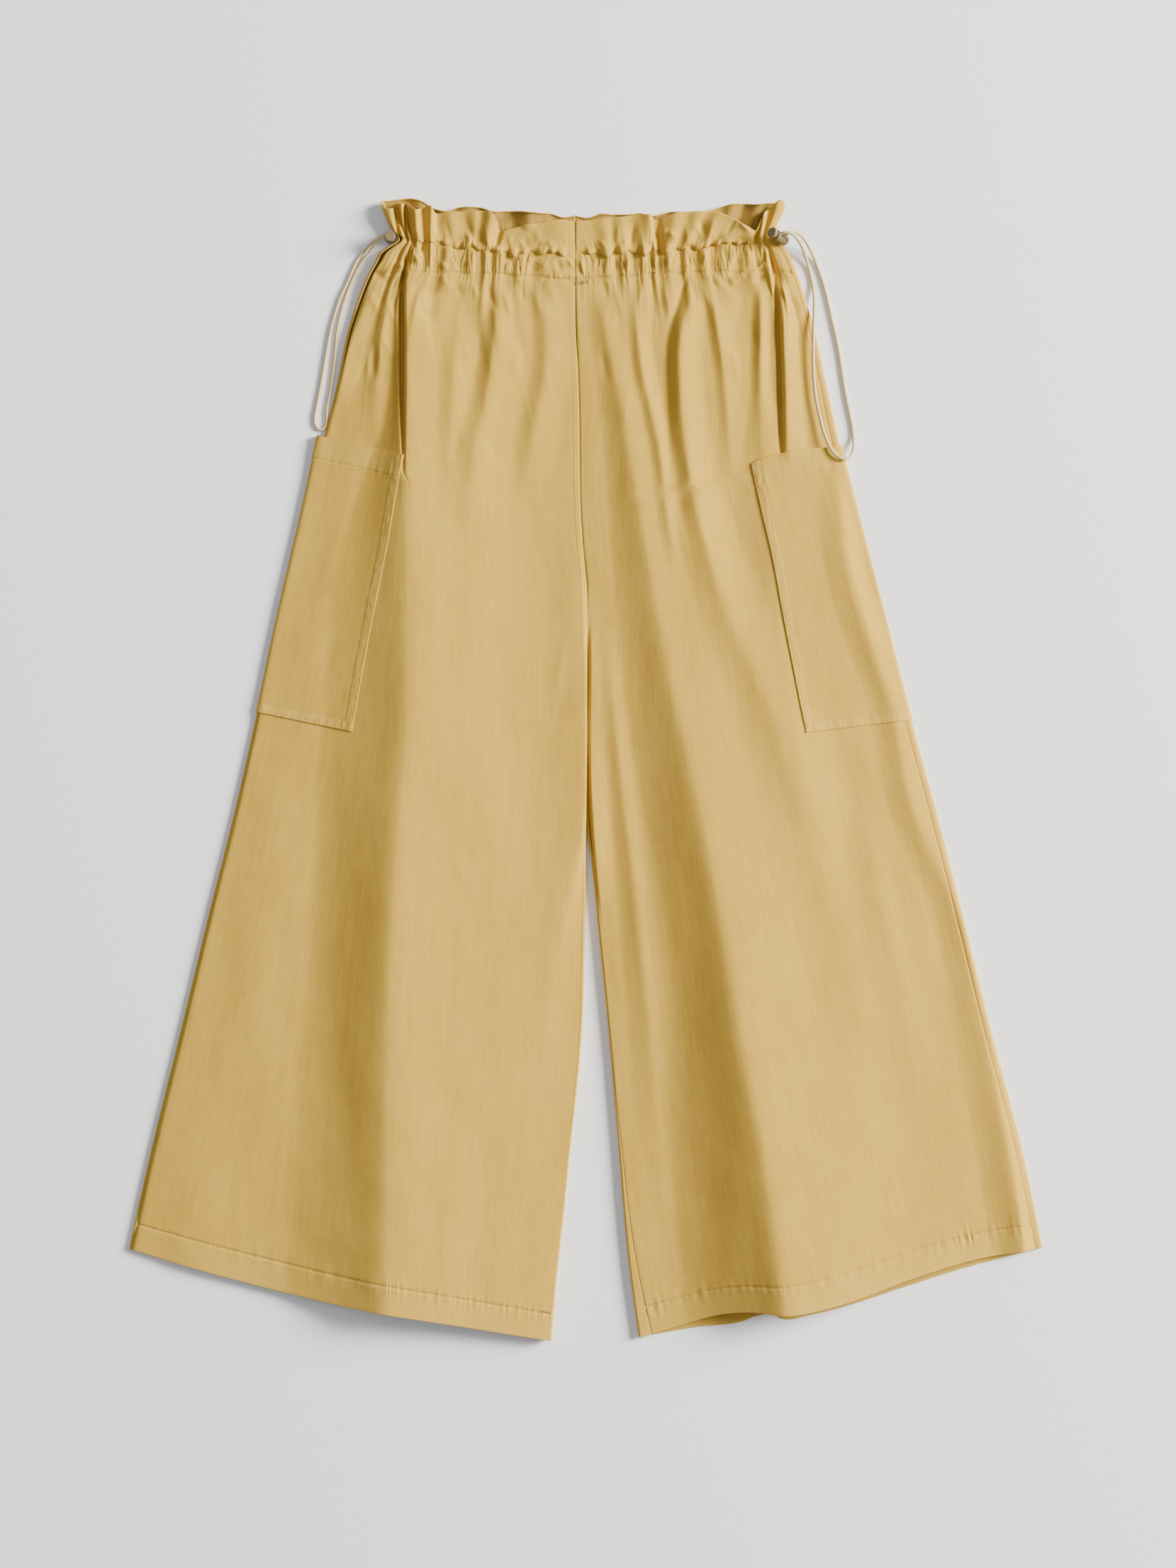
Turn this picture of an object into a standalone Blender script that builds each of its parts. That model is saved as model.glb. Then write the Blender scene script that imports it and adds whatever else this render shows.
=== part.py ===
"""Wide cotton culottes with a gathered paper-bag waist, laid flat on a floor.

The garment lies in the XY plane: +X across it, +Y from hem to waist, +Z up.
Its underside rests at Z = 0.  Each leg is a tube of cloth.  A front panel runs
over the folds, and a back panel lies on the floor and wraps round the rolled
side edge to the seams.  Sizes are in millimetres and become metres at the end.
"""
import math

import bmesh
import bpy
import numpy as np
from mathutils import Matrix, Vector

MM = 0.001

# Cloth and seams
WALL = 1.4
LAYER_GAP = 0.4
SEAM_HALF_GAP = 0.2
ROLL_REACH = 3.0
ROLL_PATH = 4.0
FRONT_REST = 6.0
CROWN = 1.4
POCKET_LIFT = WALL + LAYER_GAP
BACK_INSET = 7.0

# How far below the casing the gathers spread
GATHER_SLIDE = 126.0
GATHER_FADE = 90.0
CROTCH_Y = 104.0
CROTCH_BLEND = 44.0
FADE_POWER = 1.5

# Heights of the back's gathers off the floor
BACK_TROUGH = 0.3
BACK_CREST = 2.2
BACK_CENTRE = 0.5
LEAST_LIFT = 0.05

# Grid rows from hem to casing: name, outer y, inner y, sag, steps to the next
ROWS = {
    "left": (
        ("hem", -371.5, -442.5, 0.0, 1),
        ("hem_stitch", -352.5, -421.5, 0.0, 7),
        ("pocket_bottom", 44.8, -8.0, 0.0, 4),
        ("pocket_top", 259.9, 209.7, 0.0, 5),
        ("casing_low", 385.8, 380.9, 2.5, 2),
        ("casing_up", 413.3, 400.1, -3.0, 0),
    ),
    "right": (
        ("hem", -370.5, -440.5, 0.0, 1),
        ("hem_stitch", -352.0, -419.5, 0.0, 7),
        ("pocket_bottom", 38.8, 8.0, 0.0, 4),
        ("pocket_top", 251.1, 211.0, 0.0, 5),
        ("casing_low", 386.5, 380.9, 2.5, 2),
        ("casing_up", 413.3, 400.1, -3.0, 0),
    ),
}
FRILL_STEPS = 3
FRILL_TOP = {"left": 438.0, "right": 441.0}
CENTRE_TOP = 425.0

# Outline of the garment at each side: y, x
OUTER_EDGE = {
    "left": (
        (-372, -354.8), (-293, -337), (-205, -315.2), (-117, -294), (-29, -272),
        (37, -257), (125, -237.5), (202, -217.8), (262, -202.4), (300, -193.1),
        (345, -183.7), (367, -176.6), (386, -168.5), (399, -160), (413, -144.0),
        (421.5, -153.6), (438, -160.6),
    ),
    "right": (
        (-372, 355.3), (-293, 338.8), (-205, 315.7), (-117, 294), (-29, 271.7),
        (37, 253.6), (125, 231), (202, 210.7), (257, 196.4), (300, 187),
        (345, 177.1), (367, 170.5), (386, 164.5), (399, 157.5), (413, 148.5),
        (421.5, 149), (441, 156.2),
    ),
}

# Inner edge of each leg, and above the crotch the centre seams: y, x
INNER_EDGE = {
    "left": (
        (-442.5, -26.4), (-392, -22), (-337, -16), (-293, -11.6), (-249, -6.6),
        (-205, -2.8), (-139, -0.6), (-73, 0.5), (103, 0.9), (140, 1.2),
        (180, -2.5), (290, -5.2), (378, -8), (425, -8),
    ),
    "right": (
        (-442.5, 41.8), (-392, 34.7), (-337, 29.2), (-293, 25.9), (-249, 22),
        (-205, 18.2), (-139, 11.6), (-73, 4.8), (-20, 2.4), (103, 1.9), (140, 1.2),
        (180, -2.5), (290, -5.2), (378, -8), (425, -8),
    ),
}

# Distance of the side seam inside the edge, and of the inseam at the hem
SIDE_SEAM_IN = {"left": 4.2, "right": 5.5}
INSEAM_IN = {"left": 0.0, "right": 10.0}

# Hem shape: share of the width from the side, rise above a straight hem
HEM_RISE = {
    ("left", "front"): ((0, 0), (0.2, -5), (0.42, -7.5), (0.7, -4), (1, 0)),
    ("left", "back"): ((0, 1), (0.4, -3), (1, 2)),
    ("right", "front"): (
        (0, 0), (0.18, 2.8), (0.33, -0.5), (0.48, -6.3), (0.65, -4.4),
        (0.72, 2.2), (0.81, 5.2), (0.89, 3.2), (1, 0),
    ),
    ("right", "back"): (
        (0, 0), (0.22, -3.3), (0.37, -8), (0.5, -12), (0.58, -12.5), (0.65, -8.5),
        (0.74, -5.5), (0.85, -2.2), (1, 0.5),
    ),
}
HEM_RISE_REACH = 150.0

# Patch pockets: share of the leg's width they cover at bottom and top
POCKET_SHARE = {"left": (0.290, 0.313), "right": (0.323, 0.345)}
POCKET_COLUMN = {"left": 8, "right": 6}
POCKET_BACK_COLUMN = 5
POCKET_GAPE = {"left": 4.6, "right": 0.5}
GAPE_REACH = 22.0

# Front gathers from the side seam to the centre seam, crests and troughs:
# frill edge x, y, z; upper casing stitch x, z; lower casing stitch x, z
FRONT_GATHERS = {
    "left": (
        (-156.6, 437.2, 9.5, -140.5, 8.6, -164.3, 7.0),
        (-152.5, 436.2, 15.0, -139.5, 9.6, -158.5, 9.5),
        (-148.6, 437.8, 13.5, -138.6, 9.2, -153.5, 8.0),
        (-147.0, 440.0, 7.0, -137.7, 8.4, -150.5, 6.4),
        (-144.8, 438.8, 12.0, -136.8, 9.6, -147.0, 10.0),
        (-141.4, 438.8, 12.0, -135.6, 9.8, -143.3, 10.4),
        (-139.7, 440.3, 6.8, -134.5, 8.2, -140.6, 6.4),
        (-138.0, 438.6, 10.0, -133.2, 9.6, -138.4, 11.0),
        (-131.5, 433.7, 16.0, -130.0, 12.0, -132.0, 12.5),
        (-126.2, 436.0, 8.0, -125.0, 8.0, -125.5, 9.0),
        (-119.5, 436.8, 13.5, -120.0, 11.5, -121.0, 11.0),
        (-115.5, 431.5, 8.5, -114.0, 7.5, -115.0, 8.0),
        (-105.0, 432.4, 11.0, -105.5, 11.5, -107.0, 11.0),
        (-95.0, 432.7, 10.0, -96.0, 8.0, -97.0, 8.0),
        (-86.0, 433.1, 12.0, -88.0, 11.0, -89.0, 10.5),
        (-80.0, 433.0, 11.5, -82.0, 7.5, -82.5, 7.5),
        (-73.5, 432.2, 14.5, -77.0, 11.0, -77.5, 10.5),
        (-68.5, 425.0, 12.0, -72.0, 7.5, -73.0, 7.5),
        (-66.0, 418.0, 9.5, -66.0, 11.0, -67.5, 10.0),
        (-58.3, 419.4, 9.5, -59.0, 7.5, -60.0, 7.5),
        (-47.3, 422.1, 10.0, -50.0, 11.0, -51.0, 10.5),
        (-33.6, 423.8, 11.0, -40.0, 8.0, -42.0, 8.0),
        (-20.0, 426.3, 11.5, -25.0, 11.0, -26.0, 10.5),
        (-8.0, 425.0, 10.0, -8.0, 9.0, -8.0, 8.8),
    ),
    "right": (
        (152.2, 440.2, 9.5, 143.0, 7.0, 161.0, 7.0),
        (148.5, 438.6, 14.0, 141.0, 8.0, 155.5, 9.5),
        (142.5, 435.0, 10.0, 138.5, 7.4, 149.5, 6.4),
        (138.0, 430.5, 13.0, 135.5, 9.5, 143.0, 12.0),
        (134.5, 421.5, 8.5, 131.5, 7.6, 135.0, 8.0),
        (131.5, 418.3, 13.0, 126.0, 11.5, 127.0, 12.0),
        (124.0, 421.8, 14.0, 117.5, 7.5, 117.5, 8.0),
        (117.0, 425.6, 14.5, 108.0, 11.5, 108.0, 11.5),
        (110.0, 429.2, 14.0, 99.0, 7.5, 99.0, 7.5),
        (102.5, 431.9, 14.0, 91.5, 11.5, 92.5, 11.5),
        (95.0, 432.4, 12.5, 84.0, 7.5, 85.0, 7.5),
        (88.0, 432.6, 13.5, 78.0, 11.0, 78.5, 11.0),
        (79.0, 432.5, 12.0, 72.6, 7.5, 73.0, 7.2),
        (70.0, 431.9, 13.0, 64.5, 12.0, 65.0, 11.5),
        (60.0, 427.6, 10.0, 57.0, 7.5, 57.0, 7.5),
        (53.9, 426.5, 9.5, 53.8, 10.5, 54.0, 10.0),
        (50.3, 430.1, 15.0, 50.4, 7.5, 50.5, 7.5),
        (42.0, 429.9, 12.0, 45.0, 11.5, 45.5, 11.0),
        (35.0, 429.2, 11.0, 38.0, 7.5, 38.5, 7.5),
        (27.0, 428.5, 12.0, 31.0, 11.3, 31.0, 11.0),
        (20.0, 428.0, 11.0, 24.0, 7.5, 24.5, 7.5),
        (13.0, 427.2, 11.5, 18.0, 11.0, 18.0, 10.5),
        (4.0, 426.2, 10.5, 10.0, 7.8, 10.0, 7.5),
        (-8.0, 425.0, 10.5, -8.0, 9.0, -8.0, 8.8),
    ),
}

# Back frill edge from the side to the centre seam: x, y, lift off the floor
BACK_RIM = {
    "left": (
        (-154.5, 442.0, 1.5), (-146, 443.2, 3.0), (-137.5, 443.9, 1.5),
        (-129.5, 441.8, 3.5), (-121, 436.4, 1.0), (-113.5, 434.2, 3.0),
        (-106, 436.6, 1.0), (-97, 437.5, 2.5), (-89, 436.8, 1.0), (-82, 434, 3.0),
        (-73, 434, 1.0), (-62, 434, 2.5), (-50, 432, 1.0), (-38, 432.5, 2.5),
        (-27, 432, 0.5), (-17.6, 429.3, 2.0), (-8, 430.7, 0.5),
    ),
    "right": (
        (149, 441.2, 2.0), (141, 440.3, 1.0), (134.2, 439.2, 3.0), (127.6, 440.3, 1.5),
        (120, 438.6, 3.0), (111, 436.4, 1.0), (101.2, 433.4, 3.0), (91.3, 432.8, 1.0),
        (81, 433.7, 3.0), (71.5, 432.9, 1.0), (61.6, 430.4, 3.0), (50, 432.5, 1.0),
        (37, 431.4, 2.5), (26, 431.4, 0.8), (15, 432, 2.5), (3, 428.9, 0.5),
        (-8, 430.8, 0.5),
    ),
}

# Folds of the front panels, from the hem up: y, crest x, height, and how far
# the fold falls away on its left and on its right
FOLDS = {
    "left": (
        # the main fold, a lap near the waist and a broad slope at the hem
        ((-450, -150, 15, 62, 120), (-282, -152, 15, 60, 115), (-172, -152, 14, 56, 110),
         (-62, -147, 12.5, 48, 100), (48, -139, 11, 42, 90), (103, -138, 10.5, 36, 80),
         (158, -136, 9.5, 30, 70), (213, -138.5, 8.5, 12, 60), (268, -139.5, 8, 6, 45),
         (378, -139.5, 7, 6, 30), (392, -139.5, 0, 6, 20)),
        # hip folds under the gathered corner
        ((275, -193, 0, 10, 10), (290, -191, 2.5, 8, 14), (323, -185, 4, 8, 16),
         (356, -173, 4, 7, 14), (386, -163, 0, 6, 10)),
        ((240, -164, 0, 8, 12), (290, -162, 3.5, 8, 14), (323, -160, 5, 7, 12),
         (356, -155, 5, 7, 10), (386, -150, 0, 6, 8)),
        # soft folds under the casing
        ((190, -90, 0, 16, 30), (246, -87, 2.5, 14, 30), (290, -77, 3, 10, 26),
         (356, -71, 3, 8, 20), (390, -70, 0, 8, 14)),
        ((230, -52, 0, 12, 20), (290, -36, 1.6, 12, 20), (323, -31, 2, 12, 22),
         (378, -40, 1.6, 10, 18), (392, -44, 0, 8, 12)),
        # shallow diagonal from the crotch towards the hem
        ((-200, -56, 0, 30, 30), (-117, -50, 2.5, 26, 34), (-7, -26, 3, 22, 24),
         (103, -12, 3, 16, 12), (170, -12, 0, 14, 10)),
    ),
    "right": (
        # the main fold, from beside the centre seam to the middle of the hem
        ((-450, 172, 17, 80, 90), (-337, 150, 17, 66, 84), (-227, 126, 15.5, 54, 74),
         (-117, 101, 14, 44, 64), (-7, 81, 12.5, 36, 56), (48, 69, 11.5, 30, 52),
         (103, 61, 10.5, 28, 44), (158, 56, 9.5, 26, 38), (202, 49, 8.5, 24, 32),
         (246, 38, 7.5, 20, 28), (323, 20, 5.5, 14, 24), (378, 8, 2.5, 9, 18),
         (392, 5, 0, 8, 14)),
        # small fold between the two main ones
        ((150, 70, 0, 8, 10), (202, 63, 2.5, 8, 12), (246, 58, 3, 8, 12),
         (323, 42, 3, 6, 12), (378, 38, 2.5, 5, 10), (392, 38, 0, 5, 8)),
        # second fold, deep at the waist and fading towards the hem
        ((-240, 190, 0, 24, 40), (-117, 180, 2.2, 24, 40), (-7, 148, 3.5, 22, 34),
         (103, 113, 4.5, 20, 28), (202, 85, 6, 16, 22), (290, 72, 7.5, 13, 20),
         (345, 74, 7, 10, 17), (390, 78, 0, 8, 14)),
        ((235, 111, 0, 8, 14), (323, 107, 2.2, 7, 14), (378, 99, 2.2, 6, 12),
         (392, 98, 0, 6, 10)),
        ((235, 138, 0, 7, 10), (290, 134, 2.4, 7, 10), (356, 135, 2.6, 6, 9),
         (388, 136, 0, 6, 8)),
        # narrow deep fold that ends at the pocket
        ((228, 158, 0, 7, 16), (250, 157, 5, 7, 18), (323, 154.5, 7, 6, 14),
         (378, 151.5, 6, 6, 9), (392, 148, 0, 6, 8)),
        # shallow folds along the side and along the inseam
        ((-390, 330, 0, 14, 18), (-282, 320, 2, 14, 18), (-117, 280, 2.4, 14, 16),
         (48, 234, 2.2, 12, 14), (158, 199, 2, 10, 10), (225, 180, 0, 10, 10)),
        ((-340, 47, 0, 5, 12), (-227, 43, 1.8, 5, 12), (-62, 29, 2, 5, 10),
         (48, 21, 1.8, 5, 9), (90, 19, 0, 5, 8)),
    ),
}

# Cord loops: centre line from one end in the lock to the other, x, y, z
CORD_RADIUS = 1.25
CORD_STEP = 6.2
SPAN_SAMPLES = 24
CORD_ROUTES = {
    "left": (
        (-155.1, 413.7, 9.2), (-157.6, 413.9, 9.2), (-161.3, 412.7, 7.4),
        (-166.0, 409.2, 4.4), (-170.8, 404.8, 2.0), (-175.2, 399.4, 1.35),
        (-179.6, 392.2, 1.3), (-185.6, 378.2, 1.3), (-191.4, 365.6, 1.3),
        (-197.6, 345.0, 1.3), (-201.8, 322.6, 1.3), (-205.6, 300.6, 1.3),
        (-209.2, 282.0, 1.3), (-210.7, 272.5, 1.3), (-209.0, 266.6, 1.3),
        (-205.6, 264.8, 1.3), (-202.3, 266.9, 1.3), (-201.2, 272.5, 1.3),
        (-201.0, 281.0, 1.3), (-197.6, 300.6, 1.3), (-195.0, 322.6, 1.3),
        (-192.6, 344.6, 1.3), (-187.0, 366.0, 1.3), (-180.6, 382.6, 1.3),
        (-174.8, 393.4, 1.5), (-169.4, 400.6, 3.4), (-164.6, 406.2, 7.0),
        (-160.8, 411.4, 11.2), (-157.6, 413.8, 12.9), (-155.1, 413.7, 12.85),
    ),
    "right": (
        (150.55, 414.36, 19.61), (153.4, 415.4, 21.2), (157.6, 415.2, 21.6),
        (161.8, 413.0, 19.4), (165.4, 409.6, 14.0), (168.4, 405.0, 8.6),
        (170.8, 399.4, 4.6), (173.0, 392.4, 2.1), (174.8, 385.6, 1.4),
        (176.4, 378.0, 1.6), (177.6, 367.0, 3.6), (177.4, 354.0, 7.2),
        (176.8, 340.0, 9.4), (176.6, 317.1, 9.8), (178.2, 291.8, 9.8),
        (183.2, 268.0, 10.0), (187.6, 254.5, 10.8), (192.2, 246.6, 11.0),
        (197.8, 242.2, 10.8), (202.6, 241.6, 10.2), (206.4, 244.6, 7.8),
        (208.2, 250.6, 4.6), (208.3, 258.5, 1.9), (207.2, 268.0, 1.3),
        (204.6, 281.0, 1.3), (201.4, 297.0, 1.3), (196.9, 326.0, 1.3),
        (191.6, 350.5, 1.3), (186.0, 374.5, 1.3), (179.6, 393.6, 1.6),
        (175.6, 402.2, 4.2), (171.4, 409.4, 9.0), (166.4, 414.6, 14.0),
        (161.2, 416.6, 17.2), (156.6, 415.1, 18.6), (152.73, 413.4, 16.77),
    ),
}

# Cord locks: centre of the button's face, and the way the button points
LOCKS = {
    "left": ((-151.2, 413.0, 20.4), (0.05, -0.04, 1.0)),
    "right": ((143.6, 415.5, 24.0), (-0.588, 0.262, 0.766)),
}
LOCK_SLOT_TOWARDS = {"left": (-1.0, 0.1, 0.0), "right": (0.8, 0.3, 0.514)}
LOCK_LENGTH = 18.7
LOCK_SEGMENTS = 24
BUTTON_RADIUS = 4.05
BUTTON_HEIGHT = 3.6
STEM_RADIUS = 2.7
STEM_HEIGHT = 1.2
BARREL_RADIUS = 4.2
EDGE_ROUND = 0.5
LOCK_GAP = 0.3
SLOT_WIDTH = 3.3
SLOT_LENGTH = 7.0
SLOT_FROM_FACE = 9.6
SLOT_END_STEPS = 11

COLOURS = {
    "cloth": ((0.617, 0.440, 0.191, 1.0), 0.86),
    "cord": ((0.560, 0.470, 0.350, 1.0), 0.70),
    "lock": ((0.235, 0.215, 0.125, 1.0), 0.45),
}


def smoothstep(share):
    """Ease from 0 to 1 as the share goes from 0 to 1."""
    share = np.clip(share, 0.0, 1.0)
    return share * share * (3.0 - 2.0 * share)


def read(table, column, key):
    """Value of one column of a table at a key, straight between its rows."""
    data = np.array(table, dtype=float)
    return np.interp(key, data[:, 0], data[:, column])


def fold_height(side, x, y):
    """Height that the folds add at a place: a cosine slope on each side of a crest."""
    total = 0.0
    for fold in FOLDS[side]:
        if not fold[0][0] <= y <= fold[-1][0]:
            continue
        crest, height, left, right = (read(fold, column, y) for column in range(1, 5))
        reach = left if x < crest else right
        share = min(abs(x - crest) / reach, 1.0)
        total += height * 0.5 * (1.0 + math.cos(math.pi * share))
    return total


class Leg:
    """One side of the garment as rows of points, from the hem to the frill's edge.

    A row has a front and a back polyline.  Each holds the distance inwards from
    the side edge, y, and the height of the outer skin.
    """

    def __init__(self, side):
        self.side = side
        self.inward = 1.0 if side == "left" else -1.0
        self.gathers = np.array(FRONT_GATHERS[side])
        self.rim = np.array(BACK_RIM[side])
        self.first_row = {}
        self.outer_y = []
        self.inner_y = []
        self.sag = []
        self.lay_out_rows()
        self.front = []
        self.back = []
        for row in range(len(self.outer_y)):
            self.front.append(self.front_row(row))
            self.back.append(self.back_row(row))

    def lay_out_rows(self):
        """Set the two ends and the sag of each row."""
        keys = ROWS[self.side]
        for (name, outer, inner, sag, steps), after in zip(keys, keys[1:] + (None,)):
            self.first_row[name] = len(self.outer_y)
            for step in range(max(steps, 1)):
                share = step / max(steps, 1)
                end = after if after else (name, outer, inner, sag, 0)
                self.outer_y.append(outer + (end[1] - outer) * share)
                self.inner_y.append(inner + (end[2] - inner) * share)
                self.sag.append(sag + (end[3] - sag) * share)
        casing_outer, casing_inner = self.outer_y[-1], self.inner_y[-1]
        for step in range(1, FRILL_STEPS + 1):
            share = step / FRILL_STEPS
            self.outer_y.append(casing_outer + (FRILL_TOP[self.side] - casing_outer) * share)
            self.inner_y.append(casing_inner + (CENTRE_TOP - casing_inner) * share)
            self.sag.append(0.0)

    def ends(self, row):
        """X of the side edge and of the inner edge, and the width between them."""
        outer = read(OUTER_EDGE[self.side], 1, self.outer_y[row])
        inner = read(INNER_EDGE[self.side], 1, self.inner_y[row])
        return outer, inner, abs(inner - outer)

    def row_y(self, row, share, layer):
        """Y along a row at a share of its width."""
        straight = self.outer_y[row] + (self.inner_y[row] - self.outer_y[row]) * share
        rise = read(HEM_RISE[(self.side, layer)], 1, share)
        above_hem = self.outer_y[row] - self.outer_y[0]
        fade = max(0.0, 1.0 - above_hem / HEM_RISE_REACH) ** 2
        return straight + rise * fade + self.sag[row] * math.sin(math.pi * share)

    def below_casing(self, row):
        """Distance of a row below the lower casing stitch."""
        return self.outer_y[self.first_row["casing_low"]] - self.outer_y[row]

    def low_shares(self, row, count, pocket_column, seam_in):
        """Shares of the width at which the columns stand in the leg."""
        bottom, top = (self.outer_y[self.first_row[n]] for n in ("pocket_bottom", "pocket_top"))
        pocket = np.interp(self.outer_y[row], (bottom, top), POCKET_SHARE[self.side])
        first = seam_in / self.ends(row)[2]
        column = np.arange(count)
        return np.interp(column, (0, pocket_column, count - 1), (first, pocket, 1.0))

    def front_row(self, row):
        """Front polyline of a row."""
        outer, inner, width = self.ends(row)
        gathers = self.gathers
        count = len(gathers)
        casing_low, casing_up = self.first_row["casing_low"], self.first_row["casing_up"]
        seam_in = SIDE_SEAM_IN[self.side]
        if row > casing_up:
            share = (row - casing_up) / FRILL_STEPS
            x = gathers[:, 3] + (gathers[:, 0] - gathers[:, 3]) * share
            casing_y = [self.casing_y(value) for value in gathers[:, 3]]
            y = casing_y + (gathers[:, 1] - casing_y) * share
            z = gathers[:, 4] + (gathers[:, 2] - gathers[:, 4]) * share
        elif row >= casing_low:
            share = (row - casing_low) / (casing_up - casing_low)
            x = gathers[:, 5] + (gathers[:, 3] - gathers[:, 5]) * share
            z = gathers[:, 6] + (gathers[:, 4] - gathers[:, 6]) * share
            y = np.array([self.row_y(row, abs(v - outer) / width, "front") for v in x])
        else:
            shares = self.low_shares(row, count, POCKET_COLUMN[self.side], seam_in)
            low_outer, _, low_width = self.ends(casing_low)
            gathered = np.abs(gathers[:, 5] - low_outer) / low_width
            below = self.below_casing(row)
            slide = smoothstep(1.0 - below / GATHER_SLIDE)
            shares = shares + (gathered - shares) * slide
            x = outer + (inner - outer) * shares
            y = np.array([self.row_y(row, share, "front") for share in shares])
            rest = FRONT_REST + CROWN * np.sin(math.pi * shares)
            z = rest + np.array([fold_height(self.side, *place) for place in zip(x, y)])
            fade = max(0.0, 1.0 - below / GATHER_FADE) ** FADE_POWER
            z = z + (gathers[:, 6] - z) * fade
        x[0] = outer + self.inward * seam_in
        x[-1] = inner
        return self.with_edge(row, outer, x, y, z)

    def back_row(self, row):
        """Back polyline of a row."""
        outer, inner, width = self.ends(row)
        rim = self.rim
        count = len(rim)
        casing_up = self.first_row["casing_up"]
        even = np.linspace(BACK_INSET / width, 1.0, count)
        alternate = np.where(np.arange(count) % 2 == 0, BACK_TROUGH, BACK_CREST)
        alternate[-1] = BACK_CENTRE
        if row > casing_up:
            share = (row - casing_up) / FRILL_STEPS
            low_outer, low_inner, _ = self.ends(casing_up)
            low_x = low_outer + (low_inner - low_outer) * even
            low_y = np.array([self.casing_y(value) for value in low_x])
            x = low_x + (rim[:, 0] - low_x) * share
            y = low_y + (rim[:, 1] - low_y) * share
            z = alternate + (rim[:, 2] - alternate) * share
        else:
            shares = self.low_shares(row, count, POCKET_BACK_COLUMN, BACK_INSET)
            below = self.below_casing(row)
            slide = smoothstep(1.0 - below / GATHER_SLIDE)
            shares = shares + (even - shares) * slide
            x = outer + (inner - outer) * shares
            y = np.array([self.row_y(row, share, "back") for share in shares])
            z = alternate * max(0.0, 1.0 - max(below, 0.0) / GATHER_FADE) ** FADE_POWER
            z[z < LEAST_LIFT] = 0.0
            if self.first_row["pocket_bottom"] <= row <= self.first_row["pocket_top"]:
                z[:POCKET_BACK_COLUMN + 1] = POCKET_LIFT
        x[-1] = inner
        return self.with_edge(row, outer, x, y, z)

    def casing_y(self, x):
        """Y of the upper casing stitch at an x."""
        row = self.first_row["casing_up"]
        outer, _, width = self.ends(row)
        return self.row_y(row, min(abs(x - outer) / width, 1.0), "front")

    def with_edge(self, row, outer, x, y, z):
        """Put the side edge in front of a row's columns."""
        inwards = np.concatenate(([0.0], self.inward * (x - outer)))
        along = np.concatenate(([self.outer_y[row]], y))
        height = np.concatenate(([z[0]], z))
        return inwards, along, height

    def column(self, row, layer, index, inset):
        """Point of a column, with the skin moved in by the inset."""
        inwards, along, height = (self.front if layer == "front" else self.back)[row]
        x = self.ends(row)[0] + self.inward * inwards[index + 1]
        shift = -inset if layer == "front" else inset
        return x, along[index + 1], height[index + 1] + shift

    def rolled(self, row, edge, path, inset, gape=0.0):
        """Point near an edge, at a signed path length from it, front side positive."""
        outer, _, width = self.ends(row)
        layer = self.front[row] if path >= 0.0 else self.back[row]
        turn = self.roll_amount(row) if edge == "inner" else 1.0
        reach = abs(path)
        quarter = min(reach / ROLL_PATH, 1.0)
        round_off = inset + (ROLL_REACH - inset) * (1.0 - math.cos(math.pi / 2 * quarter))
        distance = turn * round_off + (1.0 - turn) * ROLL_REACH * quarter
        distance += max(reach - ROLL_PATH, 0.0)
        upright = math.sin(math.pi / 2 * (1.0 - turn + turn * quarter))
        inwards = distance if edge == "outer" else width - distance
        y = np.interp(inwards, layer[0], layer[1])
        top = np.interp(inwards, self.front[row][0], self.front[row][2])
        bottom = np.interp(inwards, self.back[row][0], self.back[row][2])
        middle, half = (top + bottom) / 2.0, (top - bottom) / 2.0 - inset
        z = middle + math.copysign(half * upright, path)
        inwards -= gape * max(0.0, 1.0 - distance / GAPE_REACH)
        return outer + self.inward * inwards, y, z

    def roll_amount(self, row):
        """1 where the leg has its own inner edge, 0 above the crotch."""
        return float(smoothstep(1.0 - (self.inner_y[row] - CROTCH_Y) / CROTCH_BLEND))

    def inseam_path(self, row):
        """Path length of the inseam from the inner edge, on the front side."""
        hem = self.inner_y[0]
        share = np.clip((CROTCH_Y - self.inner_y[row]) / (CROTCH_Y - hem), 0.0, 1.0)
        return INSEAM_IN[self.side] * share


def front_panel(leg, inset):
    """Grid of the front panel's skin: a list of rows of points."""
    grid = []
    count = len(leg.gathers)
    for row in range(len(leg.front)):
        line = [leg.column(row, "front", 0, inset)]
        line[0] = (line[0][0] + leg.inward * SEAM_HALF_GAP, line[0][1], line[0][2])
        line += [leg.column(row, "front", index, inset) for index in range(1, count - 1)]
        seam = leg.inseam_path(row) + SEAM_HALF_GAP
        line += [leg.rolled(row, "inner", seam + part * ROLL_PATH, inset)
                 for part in (1.0, 0.5, 0.0)]
        grid.append(line)
    return grid


def back_panel(leg, inset):
    """Grid of the back panel's skin, from the side seam round to the inseam."""
    grid = []
    count = len(leg.rim)
    wrap_steps = 6 if INSEAM_IN[leg.side] else 2
    for row in range(len(leg.back)):
        seam = ROLL_PATH + SIDE_SEAM_IN[leg.side] - ROLL_REACH - SEAM_HALF_GAP
        paths = (seam, ROLL_PATH, ROLL_PATH / 2, 0.0, -ROLL_PATH / 2, -ROLL_PATH)
        line = [leg.rolled(row, "outer", path, inset) for path in paths]
        line += [leg.column(row, "back", index, inset) for index in range(count - 1)]
        end = leg.inseam_path(row) - SEAM_HALF_GAP
        line += [leg.rolled(row, "inner", path, inset)
                 for path in np.linspace(-ROLL_PATH, end, wrap_steps + 1)]
        grid.append(line)
    return grid


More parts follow.
